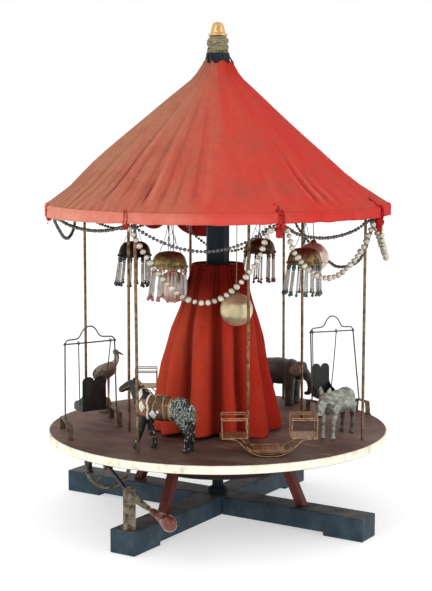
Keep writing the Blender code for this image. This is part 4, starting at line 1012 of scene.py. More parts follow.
class Casting:
    """One animal in its own frame: f is forward, s is to its left, z is up from the deck."""

    def __init__(self, spot, forward):
        self.spot = Vector((*spot, STAND))
        self.f = Vector((*forward, 0)).normalized()
        self.s = UP.cross(self.f)
        self.bm = bmesh.new()

    def at(self, f, s, z):
        return self.spot + self.f * f + self.s * s + UP * z

    def egg(self, f, s, z, size, tip=0.0):
        nose = self.f * math.cos(tip) + UP * math.sin(tip)
        rest = (nose, self.s, nose.cross(self.s))
        place = Matrix.Translation(self.at(f, s, z)) @ Matrix(rest).transposed().to_4x4() @ Matrix.Diagonal((*size, 1))
        bmesh.ops.create_uvsphere(self.bm, u_segments=24, v_segments=16, radius=1.0, matrix=place)

    def limb(self, points, radii, sides=4):
        wire(self.bm, [self.at(*p) for p in points], 1.0, radii=list(radii), sides=sides)

    def pair(self, points, radii):
        for side in (-1, 1):
            self.limb([(f, s * side, z) for f, s, z in points], radii)

    def cast(self, name, node, finish, paint, voxel=0.0008, rounds=3):
        bm = fused(self.bm, voxel)
        for k in range(rounds):
            bmesh.ops.smooth_vert(bm, verts=bm.verts[:], factor=0.5, use_axis_x=True, use_axis_y=True, use_axis_z=True)
        layer = bm.verts.layers.float_color.new("paint")
        for v in bm.verts:
            local = v.co - self.spot
            color, lift = paint(local.dot(self.f), local.dot(self.s), local.z)
            v[layer] = (*color, 1)
            if lift:
                v.co += v.normal * lift
        return piece(name, bm, finish, "carousel", [node], 60)


def cast_paint(name, rough, chip, chip_color, metallic=0.0, grime=0.5):
    """Old enamel over a casting: the laid-on colour, darkened in grain, with chips down to the metal."""
    f = Finish(name, (0.1, 0.1, 0.1), rough, metallic, gloss=0.35)
    color = f.mark("paint")[0]
    grain = f.grain(170, 7, rough=0.65)
    color = f.mix(f.math("MULTIPLY", f.steps(grain, 0.50, 0.70), grime), color, (0.030, 0.026, 0.022))
    color = f.mix(f.steps(f.grain(300, 6, rough=0.7), chip, chip + 0.05), color, chip_color)
    shine = f.add("ShaderNodeMapRange", Value=grain, To_Min=rough * 0.6, To_Max=rough * 1.5).outputs["Result"]
    return f.done(color, shine, f.grain(620, 4), 0.0005, 0.5)


horse_paint = cast_paint("horse_enamel", 0.34, 0.66, (0.20, 0.20, 0.18), 0.1, 0.35)
donkey_paint = cast_paint("donkey_pewter", 0.42, 0.62, (0.50, 0.51, 0.43), 0.40, 0.80)
elephant_paint = cast_paint("elephant_enamel", 0.42, 0.68, (0.16, 0.14, 0.12), 0.15, 0.4)
bird_paint = cast_paint("bird_enamel", 0.5, 0.66, (0.36, 0.30, 0.24), 0.0, 0.5)
print("made four enamels")

# %% [markdown]
# ## The horse
# The horse is nearly black, with a brown saddle cloth edged in cream and gold, a red-brown breast band, cream
# lozenges on its shoulder and belly, a gold mane line, and silver scrollwork on its rump and legs.

# %% Horse


def near(f, z, spot, reach):
    return math.hypot(f - spot[0], z - spot[1]) < reach


def lozenge(f, z, spot, width, height):
    return abs(f - spot[0]) / width + abs(z - spot[1]) / height < 1


DARK, CREAM, BROWN, RUST = (0.012, 0.016, 0.016), (0.72, 0.72, 0.62), (0.085, 0.042, 0.022), (0.26, 0.085, 0.045)
GOLD, GREY = (0.36, 0.21, 0.08), (0.46, 0.49, 0.41)


def horse_rule(f, s, z):
    """Names the enamel at one place on the horse, and how far it stands up."""
    if z < 0.0042:
        return (0.02, 0.02, 0.02), 0
    if lozenge(f, z, (0.0255, 0.0600), 0.0062, 0.0085) or lozenge(f, z, (0.0090, 0.0500), 0.0060, 0.0070):
        return CREAM, 0.0002
    if lozenge(f, z, (0.0290, 0.0760), 0.0040, 0.0080) or near(f, z, (0.0010, 0.0545), 0.0022):
        return CREAM, 0.0002
    if 0.022 < f < 0.041 and z > 0.066 and abs(s) < 0.0022 and noise.noise(Vector((f * 300, 0, z * 300))) > -0.1:
        return GOLD, 0.0006
    if abs(f - (0.0170 + 0.0005 * math.sin(z * 300))) < 0.0011 and z > 0.042:
        return CREAM, 0.0003
    if abs(f + 0.0150) < 0.0013 and z > 0.040:
        return GOLD, 0.0003
    if -0.0150 < f < 0.0170 and z > 0.0430:
        if noise.noise(Vector((f * 240, s * 240, z * 240))) > 0.33:
            return RUST if z > 0.056 else (0.10, 0.085, 0.040), 0.0001
        strap = min(abs(f - 0.0075 - 0.0015 * math.sin(z * 140)), abs(f + 0.0065 + 0.0012 * math.sin(z * 160)))
        return (GOLD if strap < 0.0008 else BROWN), 0.0003 if strap < 0.0008 else 0.0001
    if 0.0170 < f < 0.0330 and 0.048 < z < 0.0700:
        return RUST, 0.0002
    if f < -0.0150 and z > 0.0330:
        scroll = noise.noise(Vector((f * 210, s * 150, z * 210 + 3.0)))
        rim = noise.noise(Vector((f * 90 + 9, s * 90, z * 90)))
        lined = abs(scroll) < 0.075 and rim > -0.25
        return (GREY if lined else (0.075, 0.090, 0.082) if rim > 0.12 else DARK), 0.0003 if lined else 0
    if z < 0.034 and noise.noise(Vector((f * 420, s * 420, z * 420))) > 0.46:
        return CREAM, 0.0001
    if f > 0.0460 and (0.0 < (z - 0.0800) - (f - 0.0560) * -0.6 < 0.0014):
        return RUST, 0.0002
    return DARK, 0


horse = Casting((0.0189, -0.1714), (-0.982, -0.187))
horse.egg(-0.002, 0, 0.0560, (0.0360, 0.0145, 0.0165))
horse.egg(-0.027, 0, 0.0565, (0.0170, 0.0152, 0.0175), -0.3)
horse.egg(0.022, 0, 0.0570, (0.0135, 0.0135, 0.0165), 0.5)
horse.limb([(0.020, 0, 0.060), (0.030, 0, 0.069), (0.037, 0, 0.078), (0.0425, 0, 0.0885)],
           (0.0155, 0.0128, 0.0104, 0.0074))
horse.limb([(0.0385, 0, 0.0890), (0.047, 0, 0.0870), (0.055, 0, 0.0830), (0.0625, 0, 0.0785)],
           (0.0064, 0.0070, 0.0056, 0.0044))
horse.egg(0.0600, 0, 0.0795, (0.0058, 0.0042, 0.0044), -0.5)
horse.pair([(0.0400, 0.0036, 0.0910), (0.0402, 0.0046, 0.0945), (0.0408, 0.0048, 0.0978)], (0.0026, 0.0020, 0.0007))
for k in range(8):
    t = k / 7
    horse.egg(0.0220 + 0.0185 * t, 0, 0.0745 + 0.0185 * t, (0.0042, 0.0021, 0.0050), 0.9)
for side in (-1, 1):
    horse.egg(-0.030, side * 0.0062, 0.0500, (0.0110, 0.0090, 0.0150), -1.2)
    horse.egg(0.023, side * 0.0055, 0.0500, (0.0090, 0.0078, 0.0125), 1.2)
    step = 0.0372 if side > 0 else 0.0172
    horse.limb([(0.0225, side * 0.0075, 0.048), (0.0225 + 0.3 * (step - 0.0225), side * 0.0075, 0.034),
                (0.0225 + 0.45 * (step - 0.0225), side * 0.0075, 0.024), (step - 0.0035, side * 0.0075, 0.012),
                (step - 0.0017, side * 0.0075, 0.006)], (0.0072, 0.0052, 0.0043, 0.0034, 0.0034))
    horse.limb([(step - 0.0022, side * 0.0075, 0.0066), (step - 0.0006, side * 0.0075, 0.0022),
                (step, side * 0.0075, 0.0002)], (0.0036, 0.0046, 0.0050))
    horse.limb([(-0.0310, side * 0.0080, 0.048), (-0.0345, side * 0.0080, 0.036), (-0.0410, side * 0.0080, 0.024),
                (-0.0400, side * 0.0080, 0.012), (-0.0390, side * 0.0080, 0.006)],
               (0.0100, 0.0068, 0.0048, 0.0036, 0.0034))
    horse.limb([(-0.0394, side * 0.0080, 0.0066), (-0.0384, side * 0.0080, 0.0022), (-0.0380, side * 0.0080, 0.0002)],
               (0.0037, 0.0048, 0.0052))
horse.limb([(-0.0400, 0, 0.0650), (-0.0455, 0, 0.0600), (-0.0468, 0, 0.0450), (-0.0462, 0, 0.0280)],
           (0.0032, 0.0038, 0.0038, 0.0014))
horse.egg(0.001, 0, 0.0720, (0.0150, 0.0100, 0.0035))
print(horse.cast("painted_horse", "horse", horse_paint, horse_rule).name)

# %% [markdown]
# ## The donkey
# The donkey is bare pewter with a thin greenish wash, lighter on its front legs and face. Its head hangs low.

# %% Donkey


def donkey_rule(f, s, z):
    wash = max(0.0, min(1.0, 0.45 + 0.9 * noise.noise(Vector((f * 110, s * 110, z * 170)))
                        + 0.6 * noise.noise(Vector((f * 320, s * 320, z * 320)))))
    pale, dull = (0.42, 0.44, 0.37), (0.15, 0.16, 0.13)
    if z < 0.030 and f < -0.01:
        pale, dull = (0.14, 0.13, 0.11), (0.04, 0.035, 0.03)
    elif z < 0.035:
        pale, dull = (0.52, 0.54, 0.48), (0.20, 0.21, 0.18)
    if f > 0.036 and z < 0.0385 and z > 0.033:
        return (0.04, 0.035, 0.03), 0
    shaggy = 0.0005 * noise.noise(Vector((f * 500, s * 500, z * 260))) if z > 0.03 else 0.0
    return tuple(a * wash + b * (1 - wash) for a, b in zip(pale, dull)), shaggy


donkey = Casting((0.1810, 0.0330), (0.0, -1.0))
donkey.egg(-0.004, 0, 0.0490, (0.0365, 0.0143, 0.0170))
donkey.egg(-0.026, 0, 0.0505, (0.0150, 0.0145, 0.0165), -0.3)
donkey.egg(0.018, 0, 0.0490, (0.0140, 0.0132, 0.0165), 0.3)
donkey.limb([(0.020, 0, 0.053), (0.030, 0, 0.056), (0.037, 0, 0.0585), (0.0425, 0, 0.0605)],
            (0.0138, 0.0112, 0.0092, 0.0074))
donkey.limb([(0.0370, 0, 0.0625), (0.0435, 0, 0.0570), (0.0490, 0, 0.0475), (0.0525, 0, 0.0385)],
            (0.0066, 0.0076, 0.0062, 0.0050))
donkey.egg(0.0520, 0, 0.0400, (0.0058, 0.0052, 0.0050), -1.1)
donkey.pair([(0.0380, 0.0046, 0.0640), (0.0372, 0.0066, 0.0700), (0.0366, 0.0078, 0.0765)], (0.0026, 0.0034, 0.0008))
for side in (-1, 1):
    donkey.egg(-0.028, side * 0.0062, 0.0420, (0.0095, 0.0082, 0.0130), -1.2)
    donkey.limb([(0.021, side * 0.0080, 0.043), (0.0250, side * 0.0080, 0.028), (0.0262, side * 0.0080, 0.020),
                 (0.0268, side * 0.0080, 0.006)], (0.0066, 0.0036, 0.0028, 0.0022))
    donkey.limb([(0.0266, side * 0.0080, 0.0066), (0.0272, side * 0.0080, 0.0022), (0.0276, side * 0.0080, 0.0002)],
                (0.0026, 0.0036, 0.0040))
    donkey.limb([(-0.0300, side * 0.0080, 0.044), (-0.0325, side * 0.0080, 0.032), (-0.0350, side * 0.0080, 0.022),
                 (-0.0312, side * 0.0080, 0.006)], (0.0080, 0.0046, 0.0030, 0.0022))
    donkey.limb([(-0.0310, side * 0.0080, 0.0066), (-0.0302, side * 0.0080, 0.0022), (-0.0298, side * 0.0080, 0.0002)],
                (0.0026, 0.0036, 0.0040))
donkey.limb([(-0.0390, 0, 0.0570), (-0.0435, 0, 0.0500), (-0.0448, 0, 0.0360), (-0.0446, 0, 0.0240)],
            (0.0026, 0.0022, 0.0024, 0.0012))
print(donkey.cast("pewter_donkey", "donkey", donkey_paint, donkey_rule).name)

# %% [markdown]
# ## The elephant
# The elephant is dark grey-brown, with flat ears laid back against its shoulders, two small tusks and a trunk
# whose tip curls back.

# %% Elephant


def elephant_rule(f, s, z):
    if z < 0.0035:
        return (0.03, 0.026, 0.022), 0
    if abs(s) > 0.0108 and near(f, z, (0.0315, 0.0580), 0.0098):
        return (0.24, 0.185, 0.155), 0
    shade = 0.5 + 0.5 * noise.noise(Vector((f * 90, s * 90, z * 90)))
    fold = 0.0003 * math.sin(z * 2600 + f * 500) if f > 0.041 else 0.0
    return tuple(a * shade + b * (1 - shade) for a, b in zip((0.095, 0.080, 0.070), (0.035, 0.028, 0.026))), fold


elephant = Casting((-0.0030, 0.1985), (1.0, 0.04))
elephant.egg(-0.006, 0, 0.0520, (0.0365, 0.0198, 0.0215))
elephant.egg(-0.024, 0, 0.0510, (0.0185, 0.0190, 0.0215), -0.4)
elephant.egg(0.016, 0, 0.0530, (0.0160, 0.0175, 0.0200))
elephant.egg(0.0310, 0, 0.0550, (0.0140, 0.0122, 0.0150), -0.2)
elephant.egg(0.0340, 0, 0.0630, (0.0085, 0.0085, 0.0070))
elephant.limb([(0.0400, 0, 0.0530), (0.0480, 0, 0.0450), (0.0504, 0, 0.0360), (0.0508, 0, 0.0280), (0.0480, 0, 0.0205),
               (0.0440, 0, 0.0192), (0.0402, 0, 0.0205)], (0.0078, 0.0064, 0.0054, 0.0046, 0.0038, 0.0032, 0.0026))
for side in (-1, 1):
    elephant.egg(0.0310, side * 0.0122, 0.0580, (0.0080, 0.0022, 0.0105), -0.3)
    elephant.limb([(0.0420, side * 0.0060, 0.0440), (0.0500, side * 0.0070, 0.0400), (0.0555, side * 0.0070, 0.0420)],
                  (0.0020, 0.0016, 0.0006))
    elephant.limb([(0.0180, side * 0.0110, 0.046), (0.0185, side * 0.0110, 0.028), (0.0185, side * 0.0110, 0.012),
                   (0.0188, side * 0.0110, 0.0003)], (0.0100, 0.0080, 0.0070, 0.0078))
    elephant.limb([(-0.0290, side * 0.0110, 0.046), (-0.0300, side * 0.0110, 0.028), (-0.0300, side * 0.0110, 0.012),
                   (-0.0298, side * 0.0110, 0.0003)], (0.0112, 0.0082, 0.0070, 0.0078))
elephant.limb([(-0.0410, 0, 0.0590), (-0.0458, 0, 0.0520), (-0.0470, 0, 0.0380), (-0.0472, 0, 0.0260)],
              (0.0024, 0.0019, 0.0016, 0.0020))
print(elephant.cast("dark_elephant", "elephant", elephant_paint, elephant_rule).name)

# %% [markdown]
# ## The wading bird
# A long-legged bird stands on a small green mound. Its body is brown, its neck bends back to the head, and its
# bill is black. The thin legs need a finer voxel than the other castings.

# %% Bird


def bird_rule(f, s, z):
    if z < 0.0085 or z < 0.0240 and abs(f - 0.0010) > 0.0022:
        return (0.055, 0.085, 0.042), 0.0004 * math.sin(f * 2200) * math.sin(s * 2100)
    if z < 0.0560:
        return (0.42, 0.20, 0.15), 0
    if f > 0.0255 and z > 0.080:
        return (0.014, 0.012, 0.012), 0
    if f > 0.012 and 0.066 < z < 0.088:
        return (0.50, 0.43, 0.33), 0
    feather = math.sin(f * 1100 + 3 * math.cos(z * 500)) > 0.1
    if z > 0.0680:
        return ((0.30, 0.26, 0.19) if feather else (0.16, 0.13, 0.10)), 0.0002 if feather else 0
    return ((0.17, 0.120, 0.085) if feather else (0.070, 0.050, 0.038)), 0.0002 if feather else 0


bird = Casting((-0.1987, -0.0100), (0.05, 1.0))
bird.limb([(0, 0, 0.0002), (0, 0, 0.0020), (0, 0, 0.0050), (0, 0, 0.0075)], (0.0122, 0.0118, 0.0085, 0.0030), 8)
bird.egg(-0.002, 0, 0.0640, (0.0225, 0.0118, 0.0120), 0.25)
for turn in range(5):
    bird.limb([(0.0042 * math.cos(turn * 1.26), 0.0042 * math.sin(turn * 1.26), 0.0040),
               (0.0056 * math.cos(turn * 1.26 + 0.3), 0.0056 * math.sin(turn * 1.26 + 0.3), 0.0130),
               (0.0044 * math.cos(turn * 1.26 + 0.5), 0.0044 * math.sin(turn * 1.26 + 0.5), 0.0225)],
              (0.0034, 0.0026, 0.0008))
bird.egg(0.008, 0, 0.0665, (0.0120, 0.0105, 0.0108), 0.5)
bird.egg(-0.0180, 0, 0.0600, (0.0120, 0.0060, 0.0050), 0.2)
bird.limb([(0.0130, 0, 0.0690), (0.0210, 0, 0.0735), (0.0265, 0, 0.0800), (0.0262, 0, 0.0860), (0.0222, 0, 0.0905)],
          (0.0072, 0.0052, 0.0040, 0.0036, 0.0040))
bird.egg(0.0235, 0, 0.0908, (0.0056, 0.0044, 0.0044), -0.3)
bird.limb([(0.0250, 0, 0.0908), (0.0330, 0, 0.0880), (0.0430, 0, 0.0838)], (0.0030, 0.0018, 0.0008))
for side in (-1, 1):
    bird.limb([(0.0000, side * 0.0030, 0.0050), (0.0012, side * 0.0033, 0.0200), (0.0010, side * 0.0036, 0.0310),
               (0.0002, side * 0.0042, 0.0580)], (0.0018, 0.0013, 0.0018, 0.0024))
    bird.egg(-0.004, side * 0.0095, 0.0640, (0.0180, 0.0030, 0.0088), 0.25)
print(bird.cast("wading_bird", "stork", bird_paint, bird_rule, 0.0006, 2).name)

# %% [markdown]
# ## Bead-fringed lamps
# Each lamp is a thin brass cap with two rings of beads round it and a fringe of glass tubes, every tube ended by
# a coloured bead. The cap is spun, and one strand is repeated round it, leaning a little.

# %% Lamps
RIB_LINE = ((0.0195, 0.6350), (0.0360, 0.6310), (0.0760, 0.5985), (0.1210, 0.5590), (0.1490, 0.5345), (0.2065, 0.4850),
            (0.2350, 0.4630), (0.2433, 0.4560))


def bead_finish(name, color, rough, metallic=0.0, clear=0.0, spots=(0.02, 0.02, 0.02), amount=0.66):
    f = Finish(name, color, rough, metallic)
    f.shader.inputs["Transmission Weight"].default_value = clear
    f.shader.inputs["Coat Weight"].default_value = 0.4
    tint = f.ramp(f.grain(130, 4), [(0.3, tuple(c * 0.65 for c in color)),
                                    (0.7, tuple(min(1, c * 1.25) for c in color))])
    speck = f.steps(f.grain(620, 5, rough=0.7), amount, amount + 0.06)
    return f.done(f.mix(speck, tint, spots), None, f.grain(700, 3), 0.0002, 0.2)


glass_finish = bead_finish("milky_glass_tube", (0.66, 0.65, 0.60), 0.14, 0.0, 0.45, (0.30, 0.27, 0.22), 0.66)
LAMPS = ((3.8, 0.139, (0.38, 0.15, 0.12), "pink", (0.44, 0.34, 0.15)),
         (96.0, 0.137, (0.030, 0.100, 0.070), "green", (0.45, 0.31, 0.15)),
         (184.5, 0.140, (0.110, 0.018, 0.016), "garnet", (0.20, 0.12, 0.075)),
         (276.0, 0.140, (0.020, 0.020, 0.022), "jet", (0.060, 0.036, 0.026)))
CAP = [(0.0, 0.4026), (0.0070, 0.4023), (0.0140, 0.4008), (0.0182, 0.3983), (0.0212, 0.3945), (0.0228, 0.3900),
       (0.0238, 0.3868), (0.0240, 0.3840), (0.0247, 0.3832), (0.0250, 0.3815), (0.0247, 0.3800), (0.0240, 0.3793),
       (0.0236, 0.3802), (0.0232, 0.3862), (0.0218, 0.3896), (0.0202, 0.3938), (0.0172, 0.3972), (0.0134, 0.3996),
       (0.0055, 0.4012), (0.0, 0.4014)]
STAY = ((0.0215, 0.3905), (0.0150, 0.4040), (0.0080, 0.4180), (0.0030, 0.4330), (0.0012, 0.4520))


def bead(bm, centre, radius, long=1.0, axis=(0, 0, 1), u=8, v=6):
    place = along(axis, centre) @ Matrix.Diagonal((radius, radius, radius * long, 1))
    bmesh.ops.create_uvsphere(bm, u_segments=u, v_segments=v, radius=1.0, matrix=place)


def rod(bm, low, high, radius, sides=8):
    low, high = Vector(low), Vector(high)
    bmesh.ops.create_cone(bm, cap_ends=True, segments=sides, radius1=radius, radius2=radius, depth=(high - low).length,
                          matrix=along(high - low, (low + high) / 2))


def lamp(k, azimuth, r, color, tag, cap_color):
    node, hook = "lamp_%d" % k, polar(r, azimuth, 0)
    cap_finish = metal("lamp_cap_" + tag, cap_color, tuple(c * 0.25 for c in cap_color), 0.34, 0.75, 150)
    bm = bmesh.new()
    lathe(bm, CAP, 40, Matrix.Translation(hook))
    for j in range(38):
        a = 2 * math.pi * j / 38
        bead(bm, hook + Vector((0.0250 * math.cos(a), 0.0250 * math.sin(a), 0.3812)), 0.0013)
    for j in range(12):
        a = 2 * math.pi * (j + 0.5) / 12
        bead(bm, hook + Vector((0.0218 * math.cos(a), 0.0218 * math.sin(a), 0.3902)), 0.0024, 0.5,
             (math.cos(a), math.sin(a), 0.5))
    shade = piece("lamp_cap_%d" % k, bm, cap_finish, "carousel", [node])
    bm = bmesh.new()
    tubes = bmesh.new()
    strands = 23
    for j in range(strands):
        a = 2 * math.pi * (j + 0.35 * math.sin(j * 2.3 + k)) / strands
        out = Vector((math.cos(a), math.sin(a), 0))
        splay = 0.0012 + 0.0010 * math.sin(j * 1.7 + 2 * k)
        drop = 0.0016 * (0.5 + 0.5 * math.sin(j * 2.9 + k))
        top = hook + out * 0.0229 + UP * 0.3796
        outer = max(0.0, out.dot(LIT))
        foot = hook + out * (0.0232 + splay) + LIT * (0.0012 + 0.0040 * outer) + UP * (0.3352 + drop + 0.0010 * outer)
        run = foot - top
        for t, size in ((0.03, 0.0016), (0.10, 0.0020), (0.17, 0.0014), (0.90, 0.0016), (0.985, 0.0024)):
            bead(bm, top + run * t, size, axis=run)
        rod(tubes, top + run * 0.22, top + run * 0.865, 0.00118)
        rod(bm, top, foot, 0.00025, 4)
    piece("lamp_beads_%d" % k, bm, bead_finish("seed_bead_" + tag, color, 0.18), "carousel", [node])
    piece("lamp_tubes_%d" % k, tubes, glass_finish, "carousel", [node])
    bm = bmesh.new()
    tie = table(RIB_LINE, r) - 0.0028
    twist = []
    for j in range(25):
        t = j / 24
        a = 9.0 * t + k
        wide = 0.0012 + 0.0010 * math.sin(5 * t + k)
        twist.append(hook + Vector((wide * math.cos(a), wide * math.sin(a), 0.4032 + (tie - 0.4032) * t)))
    wire(bm, twist, 0.00055, sides=1)
    for j in range(3):
        a = 2.1 * j + k
        side = Vector((math.cos(a), math.sin(a), 0))
        wire(bm, [hook + side * out_by + UP * high for out_by, high in STAY], 0.00045, sides=1)
    for j in range(3):
        z, a, wide = 0.4180 + 0.017 * j, 1.3 * j + k, 0.0048 + 0.0016 * math.sin(3 * j + k)
        curl = []
        for i in range(12):
            b = 2 * math.pi * i / 12
            flat = Vector((math.cos(a), math.sin(a), 0)) * (wide * math.cos(b) + wide * 0.6)
            curl.append(hook + flat + UP * (z + wide * 1.4 * math.sin(b)))
        wire(bm, curl, 0.0004, closed=True, sides=1)
    piece("lamp_wires_%d" % k, bm, iron_finish, "carousel", [node])
    return shade


for k, facts in enumerate(LAMPS):
    print(lamp(k + 1, *facts).name)

# %% [markdown]
# ## Mirrored balls
# Three blown glass balls, silvered inside, hang on wires. The silver has aged: it is spotted, and each ball has
# gone its own colour. A small spun cap holds the wire.

# %% Balls
BALL_R = 0.0230
BALLS = (("gold", 50.0, 0.0868, 0.3168, 0.0027, (0.66, 0.56, 0.34)),
         ("silver", 319.0, 0.0680, 0.3421, 0.0033, (0.60, 0.42, 0.34)),
         ("rose", 147.5, 0.1605, 0.3770, -0.0038, (0.72, 0.52, 0.43)))


def ball(tag, azimuth, r, z, below, color):
    middle = polar(r, azimuth, z)
    f = Finish("aged_mirror_" + tag, color, 0.20, 0.55)
    cloud = f.grain(34, 6, rough=0.6)
    tint = f.ramp(cloud, [(0.30, tuple(c * 0.55 for c in color)), (0.50, color),
                          (0.72, tuple(min(1, c * 1.3) for c in color))])
    spots = f.steps(f.grain(150, 8, rough=0.75), 0.66, 0.74)
    finish = f.done(f.mix(spots, tint, (0.16, 0.12, 0.08)), f.steps(cloud, -0.2, 1.6), f.grain(90, 4), 0.0004, 0.12)
    bm = bmesh.new()
    rows = []
    for j in range(41):
        a = math.pi * j / 40
        bulge = BALL_R * (1 - 0.006 * math.cos(8 * a))
        rows.append((max(0.0, bulge * math.sin(a)) if 0 < j < 40 else 0.0, z + bulge * math.cos(a)))
    lathe(bm, rows, 48, Matrix.Translation((middle.x, middle.y, 0)))
    piece("mirror_ball_" + tag, bm, finish, "carousel", ["ball_" + tag])
    bm = bmesh.new()
    neck = z + BALL_R
    lathe(bm, [(0.0, neck + 0.0042), (0.0022, neck + 0.0040), (0.0036, neck + 0.0030), (0.0044, neck + 0.0004),
               (0.0050, neck - 0.0012), (0.0042, neck - 0.0020), (0.0, neck - 0.0020)], 20,
          Matrix.Translation((middle.x, middle.y, 0)))
    tie = table(RIB_LINE, r) - below
    points = []
    for j in range(9):
        t = j / 8
        bow = 0.0012 * math.sin(math.pi * t * 2 + r * 60)
        points.append(polar(r + bow, azimuth, neck + 0.0036 + (tie - neck - 0.0036) * t))
    wire(bm, points, 0.0007, sides=1)
    return piece("ball_wire_" + tag, bm, rod_finish, "carousel", [])


for facts in BALLS:
    print(ball(*facts).name)

# %% [markdown]
# ## Beads on the garlands
# The beads are set along the two threads at even steps, each turned to follow its thread. A bead is a low sphere,
# because there are hundreds. A little uneven size keeps the string from looking machined.

# %% Garland beads


def string_beads(name, line, step, radius, finish, node, u, v, uneven):
    bm = bmesh.new()
    run, count = step * 0.5, 0
    travelled = 0.0
    for a, b in zip(line, line[1:]):
        length = (b - a).length
        while travelled + length >= run:
            t = (run - travelled) / length
            size = radius * (1 + uneven * math.sin(count * 2.39))
            bead(bm, a.lerp(b, t), size, 0.86, b - a, u, v)
            run += step
            count += 1
        travelled += length
    print(name, count, "beads")
    return piece(name, bm, finish, "carousel", [node], 80)


dark_bead_finish = bead_finish("smoky_bead", (0.095, 0.095, 0.088), 0.28, 0.15, 0.0, (0.32, 0.30, 0.26), 0.66)
silver_bead_finish = bead_finish("silvered_bead", (0.56, 0.53, 0.42), 0.16, 0.45, 0.0, (0.06, 0.05, 0.035), 0.58)
DARK_STEP, DARK_BEAD_R = 0.0054, 0.00265
SILVER_STEP, SILVER_BEAD_R = 0.0087, 0.0041
dark_beads = string_beads("dark_garland_beads", dark_line, DARK_STEP, DARK_BEAD_R, dark_bead_finish, "garland_dark",
                          8, 6, 0.10)
silver_beads = string_beads("silver_garland_beads", pearl_line, SILVER_STEP, SILVER_BEAD_R, silver_bead_finish,
                            "garland_pearl", 12, 8, 0.12)
thread_finish = bead_finish("waxed_thread", (0.08, 0.07, 0.06), 0.7)
for ob, node, beads, line, thick in ((dark_thread, "garland_dark", dark_beads, dark_line, 0.0010),
                                     (pearl_thread, "garland_pearl", silver_beads, pearl_line, 0.0012)):
    ob.data.materials.append(thread_finish)
    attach(ob, "carousel")
    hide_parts(node)
    tuple(line[0])
    round(run_length(line), 3)

# %% [markdown]
# ## Cloth ties at the rib ends
# A twist of red rag ties the hoop's band to each rib end and leaves a small tuft below, with a big knot on two
# ribs. Lumps and short rag rings are fused into one piece, as the animals are, and roughened with noise.

# %% Rib ties
bm = bmesh.new()
for k, azimuth in enumerate(RIB_AZIMUTH):
    big = azimuth in (51.0, 96.0)
    dip = tuck(azimuth, 0.4600)
    for j, lean in enumerate((-0.9, 0.9) if big else (-1.3, 0.2)):
        ring = []
        for i in range(14):
            a = 2 * math.pi * i / 14
            turned = azimuth + 0.5 * lean + 0.4 * math.sin(a + j) + 0.3 * math.cos(2 * a)
            high = 0.4545 - dip / 2 + (0.0098 + dip / 2) * math.sin(a)
            ring.append(polar(0.2487 + 0.0030 * math.cos(a), turned, high))
        wire(bm, ring, 0.0016 if big else 0.0008, closed=True)
    for j in range(16 if big else 6):
        t = j / (15 if big else 5)
        a = j * 2.4 + k
        size = (0.0036 if big else 0.0019) * (0.75 + 0.35 * math.sin(3 * a)) * (1.2 - 0.7 * t)
        low = 0.4440 - (0.0150 if big else 0.0060) * t
        turned = azimuth + (1.0 if big else 0.5) * (1 - 0.5 * t) * math.sin(a)
        centre = polar(0.2475 + 0.0022 * math.cos(a), turned, low)
        bulb(bm, centre, (size * 1.1, size * 1.1, size * 1.25), polar(1, azimuth, 0), 10, 8)
    for j in range(7 if big else 0):
        lift = 0.0020 * j
        centre = polar(0.2490 - 1.45 * lift, azimuth + 0.5 * math.sin(j * 2.2), 0.4625 - dip * 0.6 + lift)
        bulb(bm, centre, (0.0026, 0.0024 + 0.0006 * math.sin(j * 1.7), 0.0024), polar(1, azimuth, 0), 10, 8)
bm = fused(bm, 0.0006)
lay = bm.verts.layers.float_vector.new("lay")
crease = bm.verts.layers.float.new("fold")
for v in bm.verts:
    r = math.hypot(v.co.x, v.co.y)
    v[lay] = Vector((v.co.x / r, v.co.y / r, v.co.z * 6))
    v[crease] = 0.32 + 0.5 * noise.noise(v.co * 260)
    v.co += v.normal * 0.0008 * noise.noise(v.co * 420)
print(piece("rib_ties", bm, tie_cloth, "carousel", [], 80).name)

# %% [markdown]
# ## The bound top
# Above the cloth the post is bound with nine uneven turns of grey-green cord and five slanting strands, and thin
# black strings run from the binding down to the cloth.

# %% Cord binding
bm = bmesh.new()
for j in range(9):
    turn_z = 0.6798 + 0.0024 * j
    ring = []
    for i in range(28):
        a = 2 * math.pi * i / 28
        sway = 0.0011 * math.sin(a + 1.7 * j) + 0.0005 * math.sin(3 * a + j)
        swell = 0.0128 + 0.0008 * math.sin(2 * a + 2.1 * j) + 0.0006 * math.sin(j * 1.3)
        ring.append(Vector((swell * math.cos(a), swell * math.sin(a), min(0.6998, turn_z + sway))))
    wire(bm, ring, 0.0017 + 0.0002 * math.sin(j * 2.2), closed=True, sides=3)
for j in range(5):
    start = 1.25 * j
    stray = []
    for i in range(14):
        a = start + i * 0.16
        stray.append(Vector((0.0148 * math.cos(a), 0.0148 * math.sin(a), 0.6815 + 0.0165 * i / 13)))
    wire(bm, stray, 0.0010, sides=2)
lathe(bm, [(0.0, 0.6780), (0.0122, 0.6780), (0.0122, 0.7008), (0.0, 0.7008)], 24)
f = Finish("grey_green_cord", (0.30, 0.27, 0.17), 0.9)
strand = f.grain(420, 5, (1, 1, 2.6), 0.65)
cord_color = f.ramp(strand, [(0.30, (0.075, 0.062, 0.030)), (0.52, (0.27, 0.23, 0.13)), (0.75, (0.52, 0.47, 0.32))])
cord_finish = f.done(cord_color, None, strand, 0.0008, 0.8)
print(piece("cord_binding", bm, cord_finish, "carousel", ["top_binding"], 80).name)

